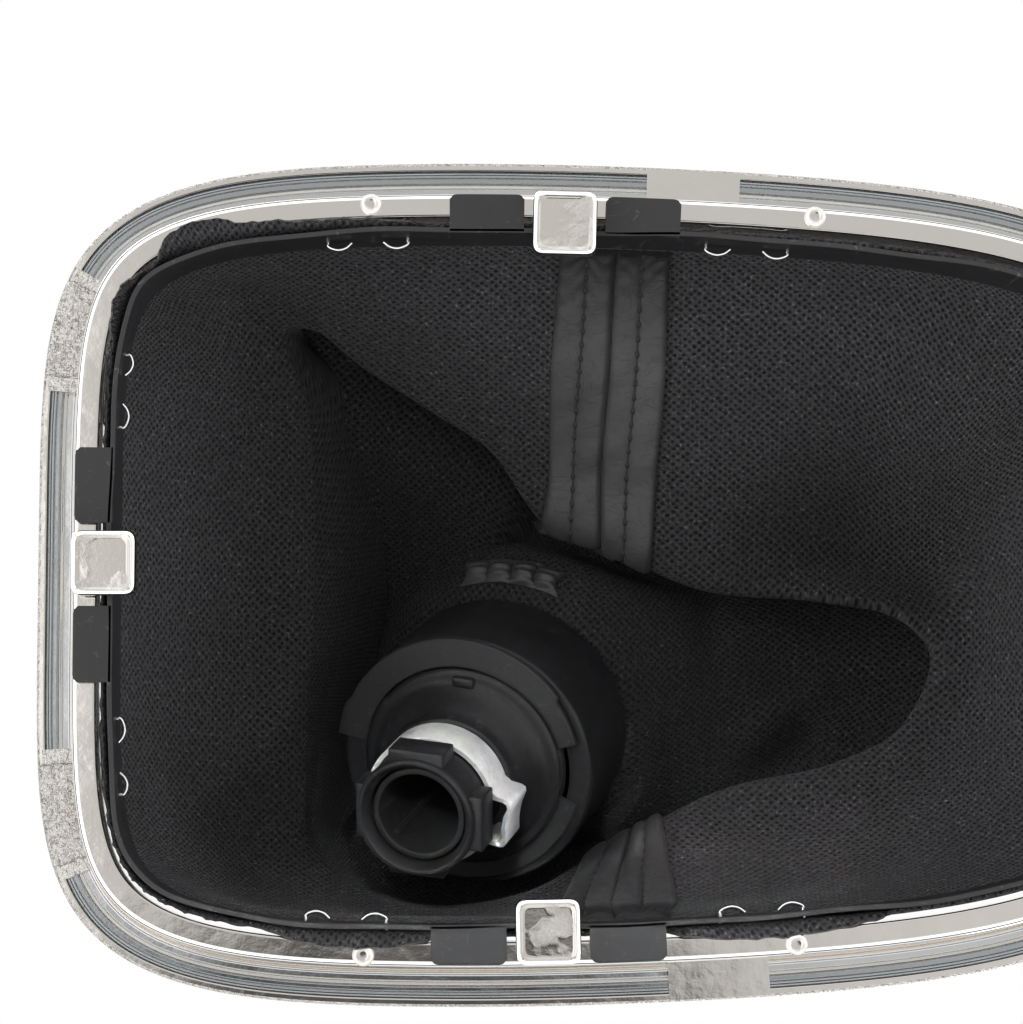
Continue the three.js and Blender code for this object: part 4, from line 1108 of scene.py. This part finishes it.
# Gaiter
gaiterSettings = {
    "hemOffset": 10.9, "hemThickness": 0.7, "thickness": 1.3, "hemBottomZ": 5.6, "wallTopZ": 15,
    "rollShare": 0.42,
    "columns": 540, "rows": 200, "hemRows": 16,
    "seams": (0.25, 0.747), "flapRows": 7, "seamDepth": 0.6, "seamRidge": 0.25,
}
# Where the free edge of the hem laps over the ledge: place on the outline and inset of the edge
hemFlaps = [
    (-76.5, -34, 10.7), (-76.3, -36.5, 10.0), (-75.7, -39.8, 9.2), (-74.7, -42.3, 9.1),
    (-72.6, -46, 10.5), (-70.5, -48, 10.4), (-70, -49.5, 9.0), (-69, -51.5, 7.9),
    (-67.1, -53.5, 7.3),
    (-63.4, -55, 7.3), (-60.5, -56, 8.0), (-58, -56, 9.1), (-53.8, -57, 9.2), (-48.8, -57, 9.8),
    (-42, -57, 9.7), (-35, -57, 10.2), (-31, -57, 10.6),
    (-54, 57, 10.6), (-50, 57, 9.4), (-46, 57, 8.8), (-41, 57, 8.6), (-35, 57, 8.8), (-31, 57, 9.6),
    (-28, 57, 10.6), (4, 57, 10.6), (9, 57, 9.6), (15, 57, 8.9), (22, 57, 8.8), (30, 57, 9.3),
    (38, 57, 10.5),
]
# Place round the outline, the points that the leather passes (side, shoulder, crease), and
# how far the roll above the crease stands out, rises, and lifts over its top
gaiterColumns = [
    (0, (64, 2, 34), (57, 4, 48), (50, 9, 50), (6.5, 14, 8.5)),
    (0.06, (62, 24, 36), (53, 22, 46), (45, 21, 50), (6.5, 14, 8.5)),
    (0.12, (52, 38, 34), (44, 32, 44), (34, 27, 50), (6, 14, 8)),
    (0.2, (30, 45, 34), (25, 38, 45), (17, 31, 51), (6, 14, 8)),
    (0.25, (-3, 49.5, 32), (-1, 44.5, 43), (2, 38, 52), (6, 12, 6)),
    (0.285, (-20, 51, 33), (-19, 50, 43), (-17, 48, 53), (2, 12, 5)),
    (0.32, (-35, 51, 33), (-37, 51, 44), (-38, 48.5, 56), (-1, 13, 5)),
    (0.39, (-61, 47, 33), (-57, 44, 43), (-50, 40, 51), (-6, 16, 5)),
    (0.445, (-69, 30, 33), (-61, 29, 42.5), (-51, 27, 50), (-7, 18, 6)),
    (0.5, (-69, 2, 32), (-60, 3, 42.5), (-50, 5, 48.5), (-8, 19, 6)),
    (0.55, (-69, -24, 31), (-60, -20, 42), (-50, -16, 50), (-11, 17, 7)),
    (0.585, (-67, -38, 30), (-60, -34, 41), (-51, -30, 49), (-10, 16, 5)),
    (0.602, (-64.5, -44.5, 29), (-60, -44, 36), (-54, -42.5, 42), (-3, 14, 2)),
    (0.618, (-60, -48, 29), (-54, -46, 36), (-48.4, -42.5, 42.5), (4, 13, -1)),
    (0.64, (-53, -47, 29), (-45, -41, 38), (-39.5, -36, 44), (6, 13, -3)),
    (0.665, (-43, -45, 28), (-34, -37, 38), (-30, -30, 46), (7, 13, -3)),
    (0.69, (-31, -43, 29), (-24, -33, 39), (-20, -23.5, 48.5), (8, 13, -2)),
    (0.715, (-17, -38, 31), (-13.5, -24, 43), (-12, -12.5, 50), (6.5, 14, 5)),
    (0.747, (-4, -34, 32), (-4, -20, 43), (-3, -9, 50), (6.5, 14, 6)),
    (0.81, (22, -30, 33), (17, -15, 43), (13, -2, 50), (6.5, 14, 8.5)),
    (0.87, (46, -28, 36), (39, -8, 55.5), (32, 0, 50), (6.5, 14, 8.5)),
    (0.94, (62, -17, 38), (52, -3, 56), (45, 3, 50.5), (6.5, 14, 8.5)),
]

# Dents in the roll above the crease: place, half length and width, direction, depth
rollDents = [
    (27.8, 24.2, 7.5, 3.4, -39, 2.6), (24.0, 20.0, 8.0, 3.2, -39, -2.4),
    (34.5, 19.0, 2.8, 8.0, -20, -1.4), (14.5, 10, 3.4, 14, 0, 2.0),
    (38, 11, 8, 2.4, 5, -1.4), (36, 3.5, 9, 3, 8, 1.2),
]


# Places up a column of the gaiter: the wall's top and the crease
wallPlace, creasePlace = 2, 6


def columnPlaces(shares):
    # Where shares of the outline lie, counted in columns of the table
    starts = np.array([row[0] for row in gaiterColumns] + [1.0])
    return np.interp(np.mod(shares, 1), starts, np.arange(len(starts)))


def loopPoints(which, shares):
    points = np.array([row[which] for row in gaiterColumns], float)[None]
    return spline(points, columnPlaces(shares), closed=True)[0]


def rollSizes(shares):
    sizes = np.array([row[4] for row in gaiterColumns + gaiterColumns[:1]], float)
    places = columnPlaces(shares)
    index = np.minimum(np.floor(places).astype(int), len(gaiterColumns) - 1)
    part = (places - index)[:, None]
    part = part * part * (3 - 2 * part)
    return sizes[index] * (1 - part) + sizes[index + 1] * part


def gripRadiusAt(heights):
    radii = np.interp(heights, [z for _, z in gripOutline], [r for r, _ in gripOutline])
    radii = np.where(heights <= gripOutline[0][1], knobSettings["collarRadius"], radii)
    return np.where(heights > gripOutline[-1][1], knobSettings["capRadius"], radii)


def gaiterCurves(s, distances):
    shares = distances / traceLength
    angles = shares * turn
    side, shoulder, crease = (loopPoints(k, shares) for k in (1, 2, 3))
    rolls = rollSizes(shares)
    tangent = loopPoints(3, shares + 0.02) - loopPoints(3, shares - 0.02)
    outwards = unit(np.stack([tangent[:, 1], -tangent[:, 0], 0 * shares], 1))
    folds = np.sin(3 * angles + 1) + 0.5 * np.sin(5 * angles)
    roll = crease + outwards * (rolls[:, 0] + folds)[:, None]
    roll[:, 2] += rolls[:, 1]
    collarRadius, slot = knobSettings["collarRadius"], knobSettings["slot"]
    collarEdge = knobPoint(angles, collarRadius + 1, slot)
    rollTop = roll + (collarEdge - roll) * s["rollShare"]
    rollTop[:, 2] += rolls[:, 2] + 1.5 * folds
    offset = rollTop - knobSeat
    heights = offset @ knobUp
    away = offset - heights[:, None] * knobUp
    reach = np.linalg.norm(away, axis=1)
    least = gripRadiusAt(heights) + s["thickness"] + 3
    rollTop += unit(away) * np.maximum(0, least - reach)[:, None]
    hem = s["hemOffset"]
    low, top = s["hemBottomZ"], s["wallTopZ"]
    wall = [(hem, low), (hem, (low + top) / 2), (hem, top - 0.4), (hem + 1.4, top + 4.5)]
    return np.stack([
        *(insetPoint(distances, np.full(len(distances), inset), z) for inset, z in wall),
        side, shoulder, crease, roll, rollTop,
        knobPoint(angles, collarRadius + 5, 8),
        collarEdge,
        knobPoint(angles, collarRadius - 2, slot / 2),
    ], 1)


def surfaceNormals(middle):
    around = np.roll(middle, -1, 0) - np.roll(middle, 1, 0)
    up = np.gradient(middle, axis=1)
    return unit(np.cross(around, up))


def hemFlapRows(s, distances):
    # From the free edge, lapped outwards over the ledge, back to the foot of the hem
    starts = np.array([distanceNear(x, y) for x, y, _ in hemFlaps])
    order = np.argsort(starts)
    edge = np.interp(distances, starts[order], np.array([row[2] for row in hemFlaps])[order],
                     left=s["hemOffset"], right=s["hemOffset"])
    lap = np.clip(s["hemOffset"] - edge, 0.0, None)
    ragged = 0.12 * np.sin(distances * 1.3) + 0.08 * np.sin(distances * 3.1)
    lap = lap + np.where(lap > 0.2, ragged, 0)
    share = np.linspace(1, 0, s["flapRows"], endpoint=False)[None, :, None]
    drop = np.minimum(1, lap / 0.8)[:, None, None]
    inset = s["hemOffset"] - lap[:, None, None] * share
    z = s["hemBottomZ"] - (1.15 * drop + 0.3) * np.minimum(1, 2.2 * share) ** 0.7
    z = z - 0.25 * drop * share**3
    return insetPoint(distances[:, None], inset[..., 0], z[..., 0])


def addDents(places, middle):
    rolled = np.clip((places - 6.3) / 0.8, 0, 1) * np.clip((9.0 - places) / 0.6, 0, 1)
    moved = middle.copy()
    for x, y, length, width, turned, depth in rollDents:
        c, d = math.cos(math.radians(turned)), math.sin(math.radians(turned))
        along = (middle[..., 0] - x) * c + (middle[..., 1] - y) * d
        across = (middle[..., 1] - y) * c - (middle[..., 0] - x) * d
        share = np.exp(-((along / length) ** 2) - (across / width) ** 2)
        moved[..., 2] += depth * share * rolled[None]
    return moved


def gaiterSurface(s):
    distances = evenStations(s["columns"])
    curves = gaiterCurves(s, distances)
    lastPoint = curves.shape[1] - 1
    hem = np.linspace(0, wallPlace, s["hemRows"], endpoint=False)
    rest = np.linspace(wallPlace, lastPoint, s["rows"] - s["hemRows"])
    places = np.concatenate([hem, rest])
    middle = spline(curves, places)
    flap = hemFlapRows(s, distances)
    places = np.concatenate([np.linspace(-0.3, -0.02, flap.shape[1]), places])
    middle = np.concatenate([flap, middle], 1)
    middle = addDents(places, middle)
    return distances, places, middle, surfaceNormals(middle)


def clothUvs(places, middle, distances):
    # Below the crease the cloth is unrolled outwards from it, and above the crease from the collar
    closed = np.concatenate([middle, middle[:1]], 0)
    steps = np.diff(closed, axis=1)
    length = np.linalg.norm(steps, axis=2)
    crease = int(np.searchsorted(places, creasePlace))
    _, _, inward = stationAt(np.append(distances, traceLength))
    spare = (length - np.linalg.norm(steps[..., :2], axis=2))[..., None] * inward[:, None]
    below = closed[..., :2].copy()
    below[:, :crease] -= np.cumsum(spare[:, :crease][:, ::-1], 1)[:, ::-1]
    toCollar = np.cumsum(length[:, ::-1], 1)[:, ::-1]
    toCollar = np.concatenate([toCollar, np.zeros((len(closed), 1))], 1)
    offset = closed - knobSeat
    away = unit(offset - (offset @ knobUp)[..., None] * knobUp)
    reach = away * (knobSettings["collarRadius"] + toCollar)[..., None]
    above = np.stack([reach @ knobX, reach @ knobY], -1)
    return below, above, crease


def makeGaiter(s):
    distances, places, middle, normals = gaiterSurface(s)
    half = np.where(places <= wallPlace, s["hemThickness"] / 2, s["thickness"] / 2)[None, :, None]
    inner = middle - normals * half
    outer = middle + normals * half
    n, m = middle.shape[:2]
    # A sewn seam shows outside as a groove between two low ridges
    shares = distances / traceLength
    for seam in s["seams"]:
        centre = np.argmin(np.abs(shares - seam))
        off = np.linalg.norm(middle - middle[centre][None], axis=2)
        near = np.abs(np.arange(n) - centre) < 30
        groove = -s["seamDepth"] * np.exp(-((off / 0.8) ** 2))
        groove = groove + s["seamRidge"] * np.exp(-(((off - 2.6) / 1.6) ** 2))
        dent = np.where(near[:, None], groove, 0) * (places > wallPlace + 1)[None]
        outer = outer + normals * dent[..., None]
    points = np.concatenate([inner.reshape(-1, 3), outer.reshape(-1, 3)])
    faces = np.concatenate([
        gridFaces(n, m, True, False, 0, True),
        gridFaces(n, m, True, False, n * m, False),
    ])
    rim = []
    for j in (0, m - 1):
        a = np.arange(n) * m + j
        b = np.roll(a, -1)
        quad = np.stack([a, a + n * m, b + n * m, b], 1)
        rim.append(quad if j else quad[:, ::-1])
    faces = np.concatenate([faces] + rim)
    below, above, crease = clothUvs(places, middle, distances)
    i, j = np.meshgrid(np.arange(n), np.arange(m - 1), indexing="ij")
    i, j = i.ravel(), j.ravel()
    # Where the leather doubles over itself at the left corner, its two faces change sides
    share = shares[i]
    turnedOver = (share > 0.5) & (share < 0.67) & (places[j] > 7.1) & (places[j] < 9.4)
    turnedOver &= normals[i, j, 2] < -0.02
    # Above the crease the knit is its darker copy, painted shade, which also shows outside where the
    # leather doubles over
    knitKind, leatherKind, shadedKnitKind = range(3)
    inside = np.where(turnedOver, leatherKind, np.where(j < crease, knitKind, shadedKnitKind))
    outside = np.where(turnedOver, shadedKnitKind, leatherKind)
    kinds = np.concatenate([inside, outside, np.full(2 * n, leatherKind)])
    corner = [(0, 0), (1, 0), (1, 1), (0, 1)]
    quads = np.stack([np.where((j < crease)[:, None], below[i + a, j + b], above[i + a, j + b])
                      for a, b in corner], 1)
    uvs = np.concatenate([quads[:, ::-1], quads, np.zeros((2 * n, 4, 2))]) / 100
    cloths = [knit, outerLeather, shadedKnit]
    piece = addPiece("gaiterLeather", points, faces, cloths, ["gaiter"],
                     kinds, uvs, 60)
    return piece, distances, places, middle, normals


gaiterPiece, gaiterWalk, gaiterPlaces, gaiterMiddle, gaiterNormals = makeGaiter(gaiterSettings)
print("gaiter: leather outside, knit inside")


# Seam strips
stripSettings = {
    "width": 16.8, "thickness": 0.9, "gap": 0.06, "across": 49, "along": 150, "stitchPitch": 2.45,
    "strips": {
        "seamStripFront": {"node": "seam_strip_front", "place": (-2.6, -52), "from": 2.6, "to": 7.9,
                           "shift": (1.2, -2.0), "turned": 1},
        "seamStripBack": {"node": "seam_strip_back", "place": (-2.6, 52), "from": 2.6, "to": 7.6,
                          "shift": (0.5, 0), "turned": -1},
    },
    "tail": {"place": (-2.6, -52), "from": 9.3, "to": 9.86},
}


def gridSample(table, column, row):
    # Reads a (n, m, 3) table at fractional columns and rows
    n, m = table.shape[:2]
    c0, r0 = np.floor(column).astype(int), np.clip(np.floor(row).astype(int), 0, m - 2)
    fc, fr = (column - c0)[..., None], (row - r0)[..., None]
    a, b = table[c0 % n, r0], table[(c0 + 1) % n, r0]
    c, d = table[c0 % n, r0 + 1], table[(c0 + 1) % n, r0 + 1]
    return (a * (1 - fc) + b * fc) * (1 - fr) + (c * (1 - fc) + d * fc) * fr


def stripFrame(s, row):
    # A strip's middle column on the gaiter, the rows it passes and the columns' spacing there
    centre = np.interp(distanceNear(*row["place"]), gaiterWalk, np.arange(len(gaiterWalk)))
    places = np.linspace(row["from"], row["to"], s["along"])
    rows = np.interp(places, gaiterPlaces, np.arange(len(gaiterPlaces)))
    here = gridSample(gaiterMiddle, np.full(len(rows), centre), rows)
    nextColumn = gridSample(gaiterMiddle, np.full(len(rows), centre + 4), rows)
    spacing = np.linalg.norm(nextColumn - here, axis=1) / 4
    return centre, rows, spacing


def addStrip(name, top, bottom, nodes=()):
    # A closed sheet between two grids of points
    n, m = top.shape[:2]
    points = np.concatenate([top.reshape(-1, 3), bottom.reshape(-1, 3)])
    faces = [gridFaces(n, m), gridFaces(n, m, start=n * m, flip=True)]
    for line, flip in ((np.arange(n) * m, False), (np.arange(n) * m + m - 1, True),
                       (np.arange(m), True), ((n - 1) * m + np.arange(m), False)):
        quad = np.stack([line[:-1], line[:-1] + n * m, line[1:] + n * m, line[1:]], 1)
        faces.append(quad[:, ::-1] if flip else quad)
    return addPiece(name, points, np.concatenate(faces), [stripLeather], nodes,
                    smoothAngle=50)


def makeTail(s, name, row):
    # The end of a strip, gathered in four pleats under the collar's edge
    centre, rows, spacing = stripFrame(s, row)
    across = np.linspace(-1, 1, s["across"])
    waist = 1 - 0.10 * np.sin(np.linspace(0, math.pi, len(rows)))
    columns = centre + across[None] * (s["width"] / 2 * waist / spacing)[:, None]
    ragged = 0.02 * np.sin(across * 9 + 1) + 0.05 * np.abs(np.sin(2 * math.pi * across))
    climb = np.linspace(0, 1, len(rows))
    rowTable = rows[:, None] + (1 - climb)[:, None] * ragged[None] * (rows[-1] - rows[0])
    base = gridSample(gaiterMiddle, columns, rowTable)
    normal = unit(gridSample(gaiterNormals, columns, rowTable))
    depth = gaiterSettings["thickness"] / 2 + s["gap"]
    bulge = np.sin(np.linspace(0.25, math.pi, len(rows)))[:, None]
    puff = 1.4 * np.abs(np.sin(2 * math.pi * (across + 1)))[None] ** 0.6 * bulge
    puff = puff + 0.10 * np.sin(np.linspace(0, 22, len(rows))[:, None] + 5 * across[None])
    edge = np.clip((1 - np.abs(across)) / 0.06, 0, 1)[None] ** 0.5
    top = base - normal * (depth + 0.35 + puff * edge)[..., None]
    bottom = base - normal * depth
    return addStrip(name, top, bottom)


def makeStrip(s, name, row):
    centre, rows, spacing = stripFrame(s, row)
    across = np.linspace(-1, 1, s["across"])
    reach = np.minimum(s["width"] / 2 / spacing, 21)
    lean = np.linspace(*row["shift"], len(rows)) / spacing * row["turned"]
    columns = centre + lean[:, None] + across[None, :] * reach[:, None]
    rowTable = np.broadcast_to(rows[:, None], columns.shape)
    base = gridSample(gaiterMiddle, columns, rowTable)
    normal = unit(gridSample(gaiterNormals, columns, rowTable))
    steps = np.linalg.norm(np.diff(base[:, s["across"] // 2], axis=0), axis=1)
    walked = np.concatenate([[0], np.cumsum(steps)])
    depth = gaiterSettings["thickness"] / 2 + s["gap"]
    x = across[None, :]
    puff = 0.46 * np.abs(np.sin(2 * math.pi * (x + 1))) ** 0.6 - 0.30
    puff = puff - 0.6 * np.exp(-((x / 0.045) ** 2))
    y = walked[:, None]
    wrinkle = 0.13 * np.sin(y * 1.7 + 3 * np.sin(9 * x)) * np.exp(-y / 12)
    wrinkle = wrinkle + 0.05 * np.sin(y * 0.9 + 7 * x)
    edge = np.clip((1 - np.abs(x)) / 0.06, 0, 1) ** 0.5
    height = depth + s["thickness"] * (0.35 + 0.65 * edge) + puff * edge + wrinkle
    top = base - normal * height[..., None]
    piece = addStrip(name, top, base - normal * depth, [row["node"]])
    stitches = MeshParts()
    for at in (-0.5, 0.5):
        column = int(round((at + 1) / 2 * (s["across"] - 1)))
        line = top[:, column] - normal[:, column] * 0.02
        out = normal[:, column]
        stitches.add(*tube(line - out * 0.02, 0.14, 6))
        for middle in np.arange(1.2, walked[-1] - 1.2, s["stitchPitch"]):
            along = middle + np.linspace(-0.42, 0.42, 5)
            path = np.stack([np.interp(along, walked, line[:, k]) for k in range(3)], 1)
            up = np.stack([np.interp(along, walked, out[:, k]) for k in range(3)], 1)
            lift = 0.20 - 0.28 * np.linspace(-1, 1, 5) ** 2
            stitches.add(*tube(path - up * lift[:, None], 0.30, 6))
    thread = stitches.make(name + "Stitches", [blackThread], (), 60)
    return piece, thread, walked[-1]


strips = {}
for stripName, stripRow in stripSettings["strips"].items():
    strips[stripName] = makeStrip(stripSettings, stripName, stripRow)
stripTail = makeTail(stripSettings, "seamStripTail", stripSettings["tail"])
lengths = {name: round(float(strip[2]), 1) for name, strip in strips.items()}
print("seam strips: padded bands and stitches", lengths)


# Staples
stapleSettings = {
    "wire": 0.45, "z": 8.6, "width": 12.4, "clinchWidth": 3.7, "clinchDepth": 0.93,
    "places": [(-39.1, -57), (18, -57), (-42, 57), (19.6, 57),
               (-82, -28.5), (-82, 26.9), (82, -25), (82, 25)],
}


def makeStaples(s):
    half, clinch, depth = s["width"] / 2, s["clinchWidth"], s["clinchDepth"]
    crown = gaiterSettings["hemOffset"] - gaiterSettings["hemThickness"] / 2 - s["wire"] / 2 - 0.15
    inside = carrierSettings["wallOuter"] + carrierSettings["wallThickness"] + 0.15 + s["wire"] / 2
    sideRows = [(half - clinch, inside), (half - 0.75 * clinch, inside + 0.75 * depth),
                (half - 0.4 * clinch, inside + depth), (half, inside + 0.35 * depth),
                (half, inside - 0.3), (half, crown + 0.5), (half - 0.5, crown)]
    row = [(-a, b) for a, b in sideRows] + [(-half / 3, crown), (half / 3, crown)]
    row += sideRows[::-1]
    for number, place in enumerate(s["places"], 1):
        middle = distanceNear(*place)
        line = np.array([insetPoint(middle + a, b, s["z"]) for a, b in row])[None]
        path = spline(line, np.linspace(0, len(row) - 1, 106))[0]
        parts = MeshParts()
        parts.add(*tube(path, s["wire"] / 2 + 0.06))
        parts.make(f"staple{number}", [stapleWire], [f"staple_{number}"], 60)


makeStaples(stapleSettings)
print("staples: eight bent wires")
